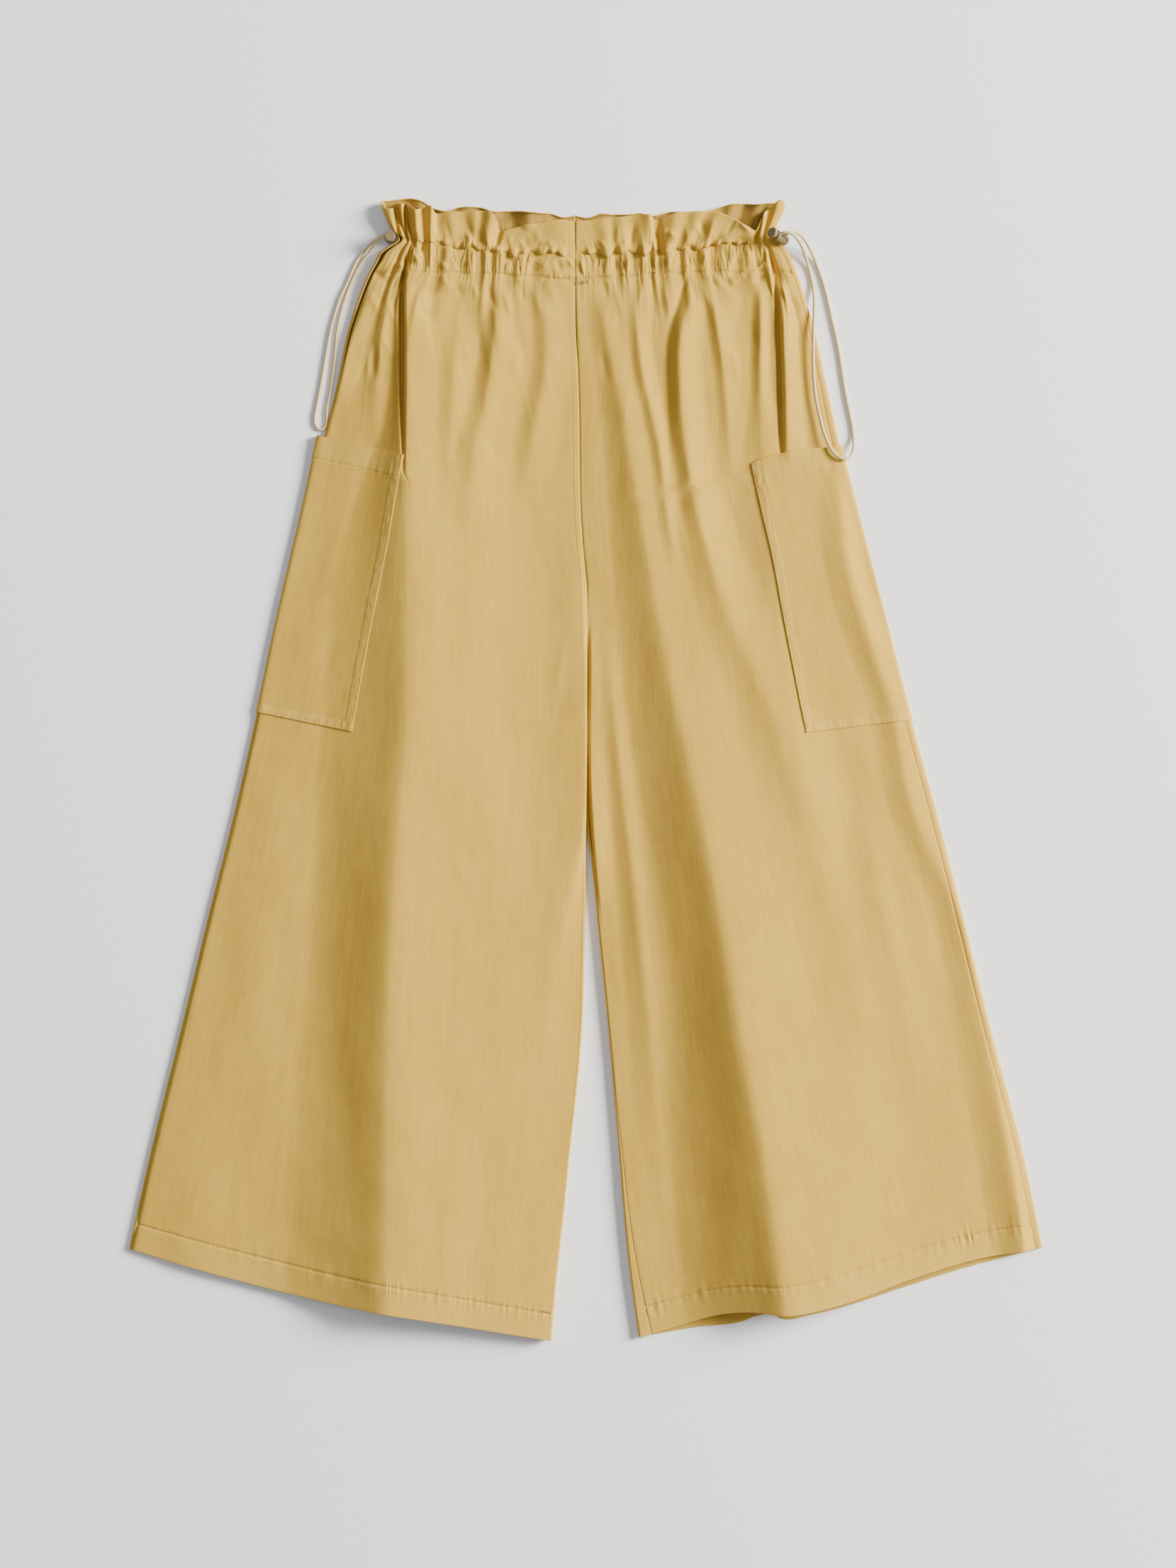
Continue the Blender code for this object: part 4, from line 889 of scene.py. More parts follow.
@dataclass
class Leg:
    """One side of the garment as a tube of cloth from the hem to the frill's edge.

    A place on it has a level, counted in key rows, and a share of the width or a
    distance from the side edge.
    """

    side: Side
    rest: float = 6.0
    crown: float = 1.4
    edge_reach: float = 2.8
    edge_thin: float = 0.28
    thin_share: float = 0.15
    gather_slide: float = 126.0
    gather_fade: float = 44.0
    fade_sway: float = 18.0
    fade_power: float = 1.5
    hem_reach: float = 150.0
    crotch_y: float = 104.0
    crotch_blend: float = 20.0
    inner_reach: float = 1.4
    pocket_lift: float = 1.8
    pocket_ease: float = 0.015
    pocket_share: float = 0.36
    back_rest: float = 1.25
    back_wave: float = 0.95
    back_waves: float = 9.0
    frill_flare: float = 3.2
    ripple_gain: float = 1.3
    frill_bend: float = 0.75
    clearance: float = 1.7
    soft_clearance: float = 0.15
    loose_waves: tuple = (0.42, 0.20, 0.15)
    fold_soft: tuple = (0.17, 8.0)
    right_power: float = 1.5
    crevice_start: float = 240.0
    plain_crest: float = 0.165
    calm_up: tuple = (9.4, 0.30)
    calm_low: tuple = (9.2, 0.45)
    calm_reach: float = 0.12
    gathering: Gathering = Gathering()
    crest_share: float = field(init=False)
    crest_index: float = field(init=False)
    fold_power: float = field(init=False)

    def __post_init__(self) -> None:
        """Keep the tables as arrays."""
        self.inward = 1.0 if self.side is Side.LEFT else -1.0
        self.rows = np.array(ROWS[self.side])
        self.gathers = np.array(FRONT_GATHERS[self.side])
        self.rim = np.array(BACK_RIM[self.side])
        self.crest_share = 0.29 if self.side is Side.LEFT else 0.22
        self.fold_power = 1.45 if self.side is Side.LEFT else 1.5
        self.crest_index = (6.6 if self.side is Side.LEFT else 3.6) / (len(self.gathers) - 1)

    def row_value(self, column: int, level: Array) -> Array:
        """Column of the key rows, straight between them."""
        return np.interp(level, np.arange(len(self.rows)), self.rows[:, column])

    def ends(self, level: Array) -> tuple[Array, Array, Array]:
        """Ends of a row.

        Args:
            level: Level of each place.

        Returns:
            X of the side edge, x of the inner edge, and the width between them.
        """
        outer = column_of(OUTER_EDGE[self.side], 1, self.row_value(0, level))
        inner = column_of(INNER_EDGE[self.side], 1, self.row_value(1, level))
        return outer, inner, np.abs(inner - outer)

    def row_y(self, level: Array, share: Array, layer: Layer) -> Array:
        """Y along a row: straight between its ends, plus the hem's rise and the sag.

        Args:
            level: Level of each place.
            share: Share of the width from the side.
            layer: Upper or lower cloth.

        Returns:
            Y of each place.
        """
        outer, inner = self.row_value(0, level), self.row_value(1, level)
        rise = column_of(HEM_RISE[(self.side, layer)], 1, share)
        fade = np.clip(1.0 - (outer - self.rows[0, 0]) / self.hem_reach, 0.0, 1.0) ** 2
        sag = self.row_value(2, level) * np.sin(np.pi * share)
        return outer + (inner - outer) * share + rise * fade + sag

    def below(self, level: Array) -> Array:
        """Distance below the lower casing stitch."""
        return self.rows[int(CASING_LOW), 0] - self.row_value(0, level)

    def folds(self, x: Array, y: Array) -> Array:
        """Height of the folds, steep to the left of each crest and easy to its right.

        With t the share of the reach from the rounded crest, the height falls as a
        power of (1 - t), which is higher where a fold is steepest at its crest.

        Args:
            x: Places across.
            y: Places along.

        Returns:
            Height over the plain cloth.
        """
        total = np.zeros(np.broadcast(x, y).shape)
        for fold in FOLDS[self.side]:
            inside = smoothstep((y - fold[0][0]) / 20.0) if fold[0][0] > -440 else 1.0
            inside = inside * smoothstep((fold[-1][0] - y) / 12.0)
            crest, height, left, right = (column_of(fold, n, y) for n in range(1, 5))
            reach = np.maximum(np.where(x < crest, left, right), 1.0)
            soft = np.minimum(self.fold_soft[0] * reach, self.fold_soft[1])
            away = np.sqrt((x - crest) ** 2 + soft ** 2) - soft
            share = np.clip(away / (np.sqrt(reach ** 2 + soft ** 2) - soft), 0.0, 1.0)
            fall = (1.0 - share) ** np.where(x < crest, self.fold_power, self.right_power)
            total = total + inside * np.maximum(height, 0.0) * fall
        return total

    def creases(self, x: Array, y: Array) -> Array:
        """Height of the small creases, and of the crevices where the cloth tucks in.

        A crease falls off on both sides of a crisp line as exp(-d / w) and fades in
        and out along it as a sine.  A crevice is a bell curve across its own path.

        Args:
            x: Places across.
            y: Places along.

        Returns:
            Height over the cloth.
        """
        total = np.zeros(np.broadcast(x, y).shape)
        for start_x, start_y, end_x, end_y, height, width in CREASES[self.side]:
            run = np.array((end_x - start_x, end_y - start_y))
            length = float(np.linalg.norm(run))
            along = ((x - start_x) * run[0] + (y - start_y) * run[1]) / length ** 2
            across = ((x - start_x) * run[1] - (y - start_y) * run[0]) / length
            taper = np.sin(np.pi * np.clip(along, 0.0, 1.0)) ** 1.2
            crisp = np.sqrt(across ** 2 + 0.3) - math.sqrt(0.3)
            total = total + height * taper * np.exp(-crisp / width)
        for path in CREVICES[self.side]:
            inside = (y > path[0][0]) & (y < path[-1][0])
            centre, depth, width = (column_of(path, n, y) for n in range(1, 4))
            total = total - inside * np.maximum(depth, 0.0) * bell(x - centre, width)
        return total

    def drape(self, x: Array, y: Array, share: Array) -> Array:
        """Faint uneven waves of cloth that lies loose: three wandering sines of x.

        Args:
            x: Places across.
            y: Places along.
            share: Share of the width from the side.

        Returns:
            Height over the plain cloth.
        """
        turn = self.inward
        broad, narrow, slant = self.loose_waves
        wave = broad * np.sin(x / 14.5 + 1.9 * np.sin(y / 131.0 + turn) + 0.9 * np.sin(y / 47.0))
        swell = np.clip(np.sin(y / 71.0 + x / 53.0 + 2.0 * turn), 0.0, 1.0)
        wave = wave + narrow * swell * np.sin(x / 6.3 + 2.3 * np.sin(y / 97.0 + turn))
        swell = np.clip(np.sin(y / 39.0 - x / 61.0 + turn), 0.0, 1.0)
        wave = wave + slant * swell * np.sin((x + 0.8 * y) / 11.0 + 2.2 * np.sin(y / 61.0))
        return wave * np.clip(10.0 * share * (1.0 - share), 0.0, 1.0)

    def top(self, x: Array, y: Array, share: Array) -> Array:
        """Height of the upper cloth: rest, thinner at the side, crown, folds and waves.

        Args:
            x: Places across.
            y: Places along.
            share: Share of the width from the side.

        Returns:
            Height over the floor.
        """
        crown = self.crown * np.sin(np.pi * share)
        thin = 1.0 - self.edge_thin * (1.0 - smoothstep(share / self.thin_share))
        return self.rest * thin + crown + self.folds(x, y) + self.drape(x, y, share)

    def roll_amount(self, level: Array) -> Array:
        """1 where the leg has its own inner edge, 0 above the crotch."""
        inner = self.row_value(1, level)
        return smoothstep(1.0 - (inner - self.crotch_y) / self.crotch_blend)

    def edge_factor(self, level: Array, distance: Array, width: Array) -> Array:
        """Share of the half height near the two edges: sqrt(1 - (1 - d / r)^2).

        Args:
            level: Level of each place.
            distance: Distance from the side edge.
            width: Width of the leg there.

        Returns:
            1 on the flat, 0 at an edge.
        """
        outer = np.sqrt(1.0 - (1.0 - np.clip(distance / self.edge_reach, 0.0, 1.0)) ** 2)
        near = np.clip((width - distance) / self.inner_reach, 0.0, 1.0)
        inner = np.sqrt(1.0 - (1.0 - near) ** 2)
        turn = self.roll_amount(level)
        return outer * (1.0 - turn + turn * inner)

    def inseam(self, level: Array) -> Array:
        """Distance of the inseam inside the inner edge, growing to the hem as s^5.

        Args:
            level: Level of each place.

        Returns:
            Distance of each place.
        """
        inner, hem = self.row_value(1, level), self.rows[0, 1]
        share = np.clip((self.crotch_y - inner) / (self.crotch_y - hem), 0.0, 1.0)
        return INSEAM_IN[self.side] * share ** 5

    def back_height(self, level: Array, share: Array) -> Array:
        """Height of the lower cloth: flat, lifted over the pocket, gathered at the waist.

        Args:
            level: Level of each place.
            share: Share of the width from the side.

        Returns:
            Height over the floor.
        """
        below = np.clip(self.below(level), 0.0, None)
        fade = np.clip(1.0 - below / self.gather_fade, 0.0, 1.0) ** self.fade_power
        wave = uneven_wave(share, self.back_waves, 1.0 + self.inward)
        wave = self.back_rest + self.back_wave * wave
        ease = self.pocket_ease
        lift = self.pocket_lift * smoothstep((level - POCKET_BOTTOM + ease) / ease)
        lift = lift * smoothstep((POCKET_TOP + ease - level) / ease)
        lift = lift * smoothstep((self.pocket_share - share) / 0.02)
        frill = np.clip(level - CASING_UP, 0.0, 1.0)
        ripple = hermite(np.linspace(0, 1, len(self.rim)), self.rim[:, 2], share)
        flare = self.frill_flare + self.ripple_gain * ripple
        return (wave * (1.0 - frill) + flare * frill) * fade + lift

    def wrap(self, level: Array, distance: Array, over: Array) -> Array:
        """Points by distance from the side edge, on the upper or the lower cloth.

        The height is mid + side half E(d), where mid and half come from the heights
        of the two layers and E falls to nothing at an edge.

        Args:
            level: Level of each place.
            distance: Distance from the side edge.
            over: +1 on the upper cloth, -1 on the lower, between them in the thickness.

        Returns:
            Points, the last axis x, y, z.
        """
        outer, _, width = self.ends(level)
        share = np.clip(distance / width, 0.0, 1.0)
        x = outer + self.inward * distance
        front_y = self.row_y(level, share, Layer.FRONT)
        back_y = self.row_y(level, share, Layer.BACK)
        factor = self.edge_factor(level, distance, width)
        blend = 0.5 + 0.5 * over * factor
        y = back_y + (front_y - back_y) * blend
        gathered = np.clip(1.0 - np.clip(self.below(level), 0.0, None) / self.gather_fade, 0, 1)
        gathered = gathered ** self.fade_power
        edge_z = np.where(share < 0.5, self.edge_height(level, 0), self.edge_height(level, -1))
        high = self.top(x, front_y, share)
        high = high + (edge_z - high) * gathered
        low = self.back_height(level, share)
        half = (high - low) / 2.0
        z = (high + low) / 2.0 + over * half * factor
        return np.stack(np.broadcast_arrays(x, y, z), axis=-1)

    def edge_height(self, level: Array, index: int) -> Array:
        """Height of the gathered cloth at the side seam (0) or the centre seam (-1)."""
        row = self.gathers[index]
        return np.interp(level, WAIST, (row[6], row[4], row[2]))

    def shares(self, s: Array, level: Array) -> Array:
        """Share of the width of each column of the front, following the main fold.

        Args:
            s: Column places from 0 at the side seam to 1.
            level: Level of each place.

        Returns:
            Shares of the width, gathered towards the casing.
        """
        outer, _, width = self.ends(level)
        y = self.row_value(0, level)
        if self.side is Side.LEFT:
            crest_x = column_of(FOLDS[self.side][0], 1, y)
        else:
            crest_x = outer - self.plain_crest * width
        crevice_x = column_of(CREVICES[self.side][0], 1, y)
        crest_x = np.where(y < self.crevice_start, crest_x, crevice_x)
        crest = np.clip(np.abs(crest_x - outer) / width, 0.05, 0.9)
        hat = np.where(s < self.crest_share, s / self.crest_share,
                       (1.0 - s) / (1.0 - self.crest_share))
        first = SIDE_SEAM_IN[self.side] / width
        last = 1.0 - self.inseam(level) / width
        plain = s + (crest - self.crest_share) * hat
        return first + (last - first) * plain

    def share_at(self, x: Array, key: float) -> Array:
        """Share of the width that an x has on a key row."""
        outer, _, width = self.ends(np.array(key))
        return np.abs(x - outer) / width

    def front_point(self, s: Array, level: Array) -> Array:
        """Points of the front cloth.

        Args:
            s: Column places from 0 at the side seam to 1 at the centre seam or inseam.
            level: Level of each place.

        Returns:
            Points, the last axis x, y, z.
        """
        outer, inner, width = self.ends(level)
        index = np.interp(s, (0.0, self.crest_share, 1.0), (0.0, self.crest_index, 1.0))
        knots = np.linspace(0.0, 1.0, len(self.gathers))
        rim_x, rim_y, rim_z, up_x, up_z, low_x, low_z = (
            hermite(knots, self.gathers[:, n], index) for n in range(7))
        calm = smoothstep((index - self.crest_index) / self.calm_reach)
        up_z = up_z + (self.calm_up[0] - up_z) * self.calm_up[1] * calm
        low_z = low_z + (self.calm_low[0] - low_z) * self.calm_low[1] * calm
        below = self.below(level)
        gathered = self.share_at(low_x, CASING_LOW)
        share = self.shares(s, level)
        share = share + (gathered - share) * smoothstep(1.0 - below / self.gather_slide)
        x = outer + (inner - outer) * share
        y = self.row_y(level, share, Layer.FRONT)
        reach = self.gather_fade + self.fade_sway * uneven_wave(s, 5.0, 1.4 + self.inward)
        fade = np.clip(1.0 - np.clip(below, 0.0, None) / reach, 0.0, 1.0) ** self.fade_power
        z = self.top(x, y, share)
        z = z + (low_z - z) * fade + self.creases(x, y)
        low = self.back_height(level, share)
        factor = self.edge_factor(level, share * width, width)
        mid, half = (z + low) / 2.0, (z - low) / 2.0
        z = np.where(level < CASING_LOW, mid + half * factor, z)

        casing = np.clip(level - CASING_LOW, 0.0, 1.0)
        frill = np.clip(level - CASING_UP, 0.0, 1.0)
        up_share = self.share_at(up_x, CASING_UP)
        rim_share = self.share_at(rim_x, FRILL_EDGE)
        over_share = gathered + (up_share - gathered) * casing
        over_share = over_share + (rim_share - over_share) * frill
        over_x = low_x + (up_x - low_x) * casing
        over_x = over_x + (rim_x - over_x) * frill
        straight = np.interp(level, WAIST, [float(self.ends(np.array(key))[0]) for key in WAIST])
        over_x = over_x + (outer - straight) * np.clip(1.0 - 6.0 * over_share, 0.0, 1.0) ** 2
        up_level = np.full_like(level, CASING_UP)
        up_y = self.row_y(up_level, np.clip(up_share, 0.0, 1.0), Layer.FRONT)
        over_y = self.row_y(level, np.clip(over_share, 0.0, 1.0), Layer.FRONT)
        over_y = np.where(level > CASING_UP, up_y + (rim_y - up_y) * frill, over_y)
        over_z = low_z + (up_z - low_z) * casing
        over_z = over_z + (rim_z - over_z) * frill ** self.frill_bend
        over_z = over_z + self.creases(over_x, over_y)
        over = level >= CASING_LOW
        x, y, z = np.where(over, over_x, x), np.where(over, over_y, y), np.where(over, over_z, z)
        points = self.puckered(s, level, up_x, np.stack(np.broadcast_arrays(x, y, z), axis=-1))
        clear = self.back_height(level, np.clip(over_share, 0.0, 1.0)) + self.clearance
        under = (level > CASING_LOW) & (points[..., 2] < clear)
        eased = clear + self.soft_clearance * (points[..., 2] - clear)
        points[..., 2] = np.where(under, eased, points[..., 2])
        return points

    def puckered(self, s: Array, level: Array, up_x: Array, points: Array) -> Array:
        """Drawn-up cloth round the casing's two stitch rows.

        Each row is a groove, a bell curve of the distance from it, and wanders a
        little.  Narrow ridges |sin| run up the casing and die away on both sides of
        it, and the frill drops over the upper row in scallops.

        Args:
            s: Column places.
            level: Level of each place.
            up_x: X of each column on the upper row.
            points: Points before the puckers.

        Returns:
            Points with the puckers.
        """
        size = self.gathering
        seed = 0.6 if self.side is Side.LEFT else 2.2
        up = (level - CASING_UP) * size.level_run
        low = (level - CASING_LOW) * size.level_run
        low = np.where(level < CASING_LOW, -self.below(level), low)
        edge = smoothstep(np.minimum(s, 1.0 - s) / size.edge_share)
        middle = smoothstep((s - 0.9 * self.crest_share) / self.calm_reach)
        edge = edge * (size.corner_ridges + (1.0 - size.corner_ridges) * middle)
        drop = np.zeros(np.broadcast(s, level).shape)
        for centre, half, depth in SCALLOPS[self.side]:
            drop = drop + depth * np.clip(1.0 - ((up_x - centre) / half) ** 2, 0.0, 1.0) ** 0.7
        sway = np.sin(2 * np.pi * 5.3 * s + seed)
        lean = s + size.lean * (level - (CASING_LOW + CASING_UP) / 2) * sway
        ridge = size.ridge(lean, size.ridges, seed + 1.1)
        ridge = ridge * (0.62 + 0.38 * uneven_wave(s, size.ridge_groups, seed + 3.0))
        fine = size.ridge(lean, size.fine_ridges, seed + 2.0)
        channel = np.sin(np.pi * np.clip(level - CASING_LOW, 0.0, 1.0)) ** 0.6
        rise = np.where(up > 0.0, np.exp(-np.clip(up, 0.0, 200.0) / size.frill_fade), 0.0)
        rise = rise * smoothstep(up / 2.0)
        tail = np.where(low < 0.0, np.exp(np.clip(low, -200.0, 0.0) / size.under_fade), 0.0)
        tail = tail * smoothstep(-low / 2.0)
        z = -(size.up_groove[0] + size.drop_groove * drop) * bell(up, size.up_groove[1])
        z = z - size.low_groove[0] * bell(low, size.low_groove[1])
        z = z + np.where(up > 0.0, bell(up - size.puff[1], size.puff[1]), 0.0) * size.puff[0] * drop
        for place, (wide, narrow) in ((channel, size.casing), (rise, size.frill),
                                      (tail, size.under)):
            z = z + place * (wide * ridge + narrow * fine) * edge
        z = z + self.hem_puckers(s, level)
        y = -size.scallop[0] * drop * bell(up - size.scallop[1], size.scallop[2])
        for row, (reach, count), shift in ((up, size.up_wander, 4.0), (low, size.low_wander, 5.0)):
            y = y + reach * bell(row, size.wander) * uneven_wave(s, count, seed + shift) * edge
        moved = points.copy()
        moved[..., 1] += y
        moved[..., 2] += z
        return moved

    def hem_puckers(self, s: Array, level: Array) -> Array:
        """Hem band: a groove along its stitches and small waves between them.

        Args:
            s: Column places.
            level: Level of each place.

        Returns:
            Height over the cloth.
        """
        size = self.gathering
        over = (level - HEM_STITCH) * (self.rows[1, 0] - self.rows[0, 0])
        seed = 0.3 + self.inward
        high, count, fine_high, fine_count = size.hem_waves
        wave = high * uneven_wave(s, count, seed)
        wave = wave + fine_high * uneven_wave(s, fine_count, seed + 1.0)
        z = wave * (bell(over + 2.0, 4.0) + 0.35 * bell(over - 4.0, 4.0))
        return z - size.hem_groove[0] * bell(over, size.hem_groove[1])


@dataclass
class Panel:
    """One cut piece of cloth: a grid over a leg, turned under at its edges."""

    leg: Leg
    layer: Layer
    columns: int
    thickness: float = 0.42
    turn_depth: float = 0.95
    side_dip: float = 0.18
    centre_dip: float = 0.55
    seam_under: float = 0.9
    fold_density: tuple = (3.2, 0.035)
    inner_density: tuple = (2.4, 0.03)
    side_roll: int = 14
    inner_roll: int = 7
    inseam_columns: int = 14
    frill_turn: float = 4.86
    arc_steps: int = 7
    hem_wear: float = 0.55
    frill_wear: float = 0.35
    band_wear: float = 0.30
    corner_crinkle: float = 0.12

    def levels(self) -> Array:
        """Levels of the rows, close together at the hem, the casing and the frill.

        Returns:
            Rising levels.
        """
        parts = [np.linspace(low, high, count, endpoint=False)
                 for low, high, count in zip(ROW_KEYS, ROW_KEYS[1:], ROW_COUNTS[self.layer])]
        return np.concatenate(parts + [np.array([FRILL_EDGE])])

    def front_grid(self, levels: Array) -> tuple[Array, Array]:
        """Points of the front cloth, with its columns close together at the main fold.

        Args:
            levels: Level of each row.

        Returns:
            Points, rows by columns by 3, and the place of each column.
        """
        density = np.linspace(0.0, 1.0, 2001)
        more, reach = self.fold_density
        weight = 1.0 + more * bell(density - self.leg.crest_share, reach)
        more, reach = self.inner_density
        weight = weight + more * bell(1.0 - density, reach)
        run = np.concatenate(([0.0], np.cumsum((weight[1:] + weight[:-1]) / 2)))
        s = np.interp(np.linspace(0.0, run[-1], self.columns), run, density)
        place, level = np.meshgrid(s, levels)
        return self.leg.front_point(place, level), s

    def back_grid(self, levels: Array) -> tuple[Array, Array]:
        """Points of the back cloth, from the side seam round the side and on to the inseam.

        Args:
            levels: Level of each row.

        Returns:
            Points, rows by columns by 3, and the number of each column.
        """
        leg = self.leg
        reach = leg.edge_reach
        seam_in = SIDE_SEAM_IN[leg.side] + self.seam_under
        start = math.acos(1.0 - min(seam_in / reach, 1.0))
        turn = np.linspace(start, -math.pi / 2, self.side_roll)
        flat = np.linspace(0.0, 1.0, self.columns)[1:]
        first = np.linspace(seam_in, reach, 3)[:-1] if seam_in > reach else np.array([])
        level = levels[:, None]
        width = leg.ends(level)[2]
        inseam = leg.inseam(level)
        parts = []
        if len(first):
            parts.append(leg.wrap(level, np.broadcast_to(first, (len(levels), len(first))), 1.0))
        upper = np.concatenate((np.ones(len(first)), 0.5 + 0.5 * np.sin(turn)))
        roll = np.broadcast_to(reach * (1.0 - np.cos(turn)), (len(levels), len(turn)))
        parts.append(leg.wrap(level, roll, np.sign(turn)[None, :] * np.ones_like(roll)))
        end = width - reach * leg.roll_amount(level)
        parts.append(leg.wrap(level, reach + (end - reach) * flat[None, :], -1.0))
        near = np.linspace(-math.pi / 2, 0.0, self.inner_roll)[1:]
        bend = width - reach * leg.roll_amount(level) * (1.0 - np.cos(near))[None, :]
        parts.append(leg.wrap(level, bend, -1.0 * np.ones_like(bend)))
        if INSEAM_IN[leg.side] > 0:
            share = np.linspace(0.0, 1.0, self.inseam_columns)[1:]
            over = 2.0 * leg.roll_amount(level) - 1.0
            inseam = inseam + self.seam_under * leg.roll_amount(level)
            parts.append(leg.wrap(level, width - inseam * share[None, :] ** 2, over))
        points = np.concatenate(parts, axis=1)
        rim = hermite(np.linspace(0, 1, len(leg.rim)), leg.rim[:, 1],
                      np.clip(np.abs(points[..., 0] - leg.rim[0, 0])
                              / abs(leg.rim[-1, 0] - leg.rim[0, 0]), 0.0, 1.0))
        upper = np.concatenate((upper, np.zeros(points.shape[1] - len(upper))))
        rim = rim + (leg.gathers[0, 1] - rim) * upper
        frill = np.clip(levels - CASING_UP, 0.0, 1.0)[:, None]
        points[..., 1] += (rim - points[..., 1]) * frill
        return points, np.arange(points.shape[1])

    def cloth_run(self, points: Array) -> Array:
        """Run of cloth in metres across and along the grid, for the UV map.

        Args:
            points: Rows by columns by 3.

        Returns:
            Rows by columns by 2.
        """
        across = run_along(points[len(points) // 3])
        along = run_along(points[:, points.shape[1] // 2])
        return np.stack(np.meshgrid(across * MM, along * MM), axis=-1)

    def turned(self, points: Array, levels: Array, outward: Array) -> tuple[Array, Array]:
        """Grid with its hem and its frill edge turned to the inside.

        A turned row is the cloth's own row moved in by the turn's depth, and the
        fold between them is half a circle.

        Args:
            points: Rows by columns by 3.
            levels: Level of each row.
            outward: Normals that point out of the garment.

        Returns:
            The longer grid, and the row that each of its rows came from.
        """
        stitch = int(np.searchsorted(levels, HEM_STITCH)) + 1
        top = len(levels) - 1
        rim_turn = int(np.searchsorted(levels, self.frill_turn))
        depth = self.turn_depth
        arc = np.linspace(0.0, math.pi, self.arc_steps)[1:-1]
        plan = [(row, depth, 0.0) for row in range(stitch, -1, -2)]
        plan += [(0, depth * (1 + math.cos(a)) / 2, -depth * math.sin(a) / 2) for a in arc]
        plan += [(row, 0.0, 0.0) for row in range(0, top + 1)]
        plan += [(top, depth * (1 - math.cos(a)) / 2, depth * math.sin(a) / 2) for a in arc]
        plan += [(row, depth, 0.0) for row in range(top, rim_turn, -1)]
        rows = np.array([row for row, _, _ in plan])
        inset = np.array([value for _, value, _ in plan])[:, None, None]
        push = np.array([value for _, _, value in plan])[:, None, None]
        along = np.gradient(points, axis=0)
        along /= np.maximum(np.linalg.norm(along, axis=2, keepdims=True), 1e-9)
        return points[rows] - outward[rows] * inset + along[rows] * push, rows

    def seamed(self, points: Array, levels: Array, outward: Array) -> Array:
        """Grid dipped along its two long edges, where it is sewn to its neighbours.

        Args:
            points: Rows by columns by 3.
            levels: Level of each row.
            outward: Normals that point out of the garment.

        Returns:
            The dipped grid.
        """
        from_start = run_along(points, 1)
        from_end = from_start[:, -1:] - from_start
        deep = self.centre_dip * (1.0 - 0.7 * self.leg.roll_amount(levels))[:, None]
        dip = self.side_dip * bell(from_start, 0.7) + deep * bell(from_end, 0.8)
        if self.layer is Layer.FRONT and self.leg.side is Side.LEFT:
            dip = dip - 0.16 * bell(from_end - 4.2, 0.55) + 0.1 * bell(from_end - 5.2, 0.5)
        if self.layer is Layer.BACK:
            dip = dip + 0.55 * bell(from_start, 1.1)
            if self.leg.side is Side.RIGHT:
                dip = dip + 0.50 * self.leg.roll_amount(levels)[:, None] * bell(from_end, 1.0)
        return points - outward * dip[..., None]

    def build(self, name: str, material: Material, reverse: Material,
              nodes: Iterable[str], flat: tuple[float, float], area: float) -> Piece:
        """Args:
            name: Name of the piece.
            material: Its finish.
            reverse: Finish of the cloth's inner faces, a darker copy of the cotton that paints
                shade.
            nodes: Plain solids that it stands for.
            flat: Width and length that it is cut from, in metres; not used.
            area: Area of the cut, in square metres; not used.

        Returns:
            The piece.
        """
        levels = self.levels()
        make: Callable = self.front_grid if self.layer is Layer.FRONT else self.back_grid
        points, place = make(levels)
        flip = (self.layer is Layer.BACK) != (self.leg.side is Side.RIGHT)
        outward = grid_normals(points) * (-1.0 if flip else 1.0)
        points = self.seamed(points, levels, outward)
        uv = self.cloth_run(points)
        grid, rows = self.turned(points, levels, outward)
        to_hem = (levels - HEM) * 420.0
        to_edge = (FRILL_EDGE - levels) * self.leg.gathering.level_run
        wear_and_painted_shade = self.hem_wear * bell(to_hem, 2.5) + self.frill_wear * bell(to_edge, 1.6)
        wear_and_painted_shade = wear_and_painted_shade + self.band_wear * (levels < HEM_STITCH)
        pucker = np.interp(levels, *np.array(PUCKERING).T)
        tint, drawn = (np.repeat(one[rows][:, None], grid.shape[1], axis=1)
                       for one in (wear_and_painted_shade, pucker))
        if self.layer is Layer.FRONT:
            middle = smoothstep((place - 0.9 * self.leg.crest_share) / 0.15)
            calm = self.corner_crinkle + (1.0 - self.corner_crinkle) * middle[:, None]
            drawn = drawn * np.where(levels[rows] > POCKET_TOP, calm, 1.0).T
        item = grid_mesh(name, grid, uv[rows], flip, tint, drawn)
        solid = thicken(item, self.thickness)
        settle(item, material, nodes)
        # The inner faces take the darker copy of the cotton, painted shade
        item.data.materials.append(reverse)
        solid.material_offset = 1
        return item


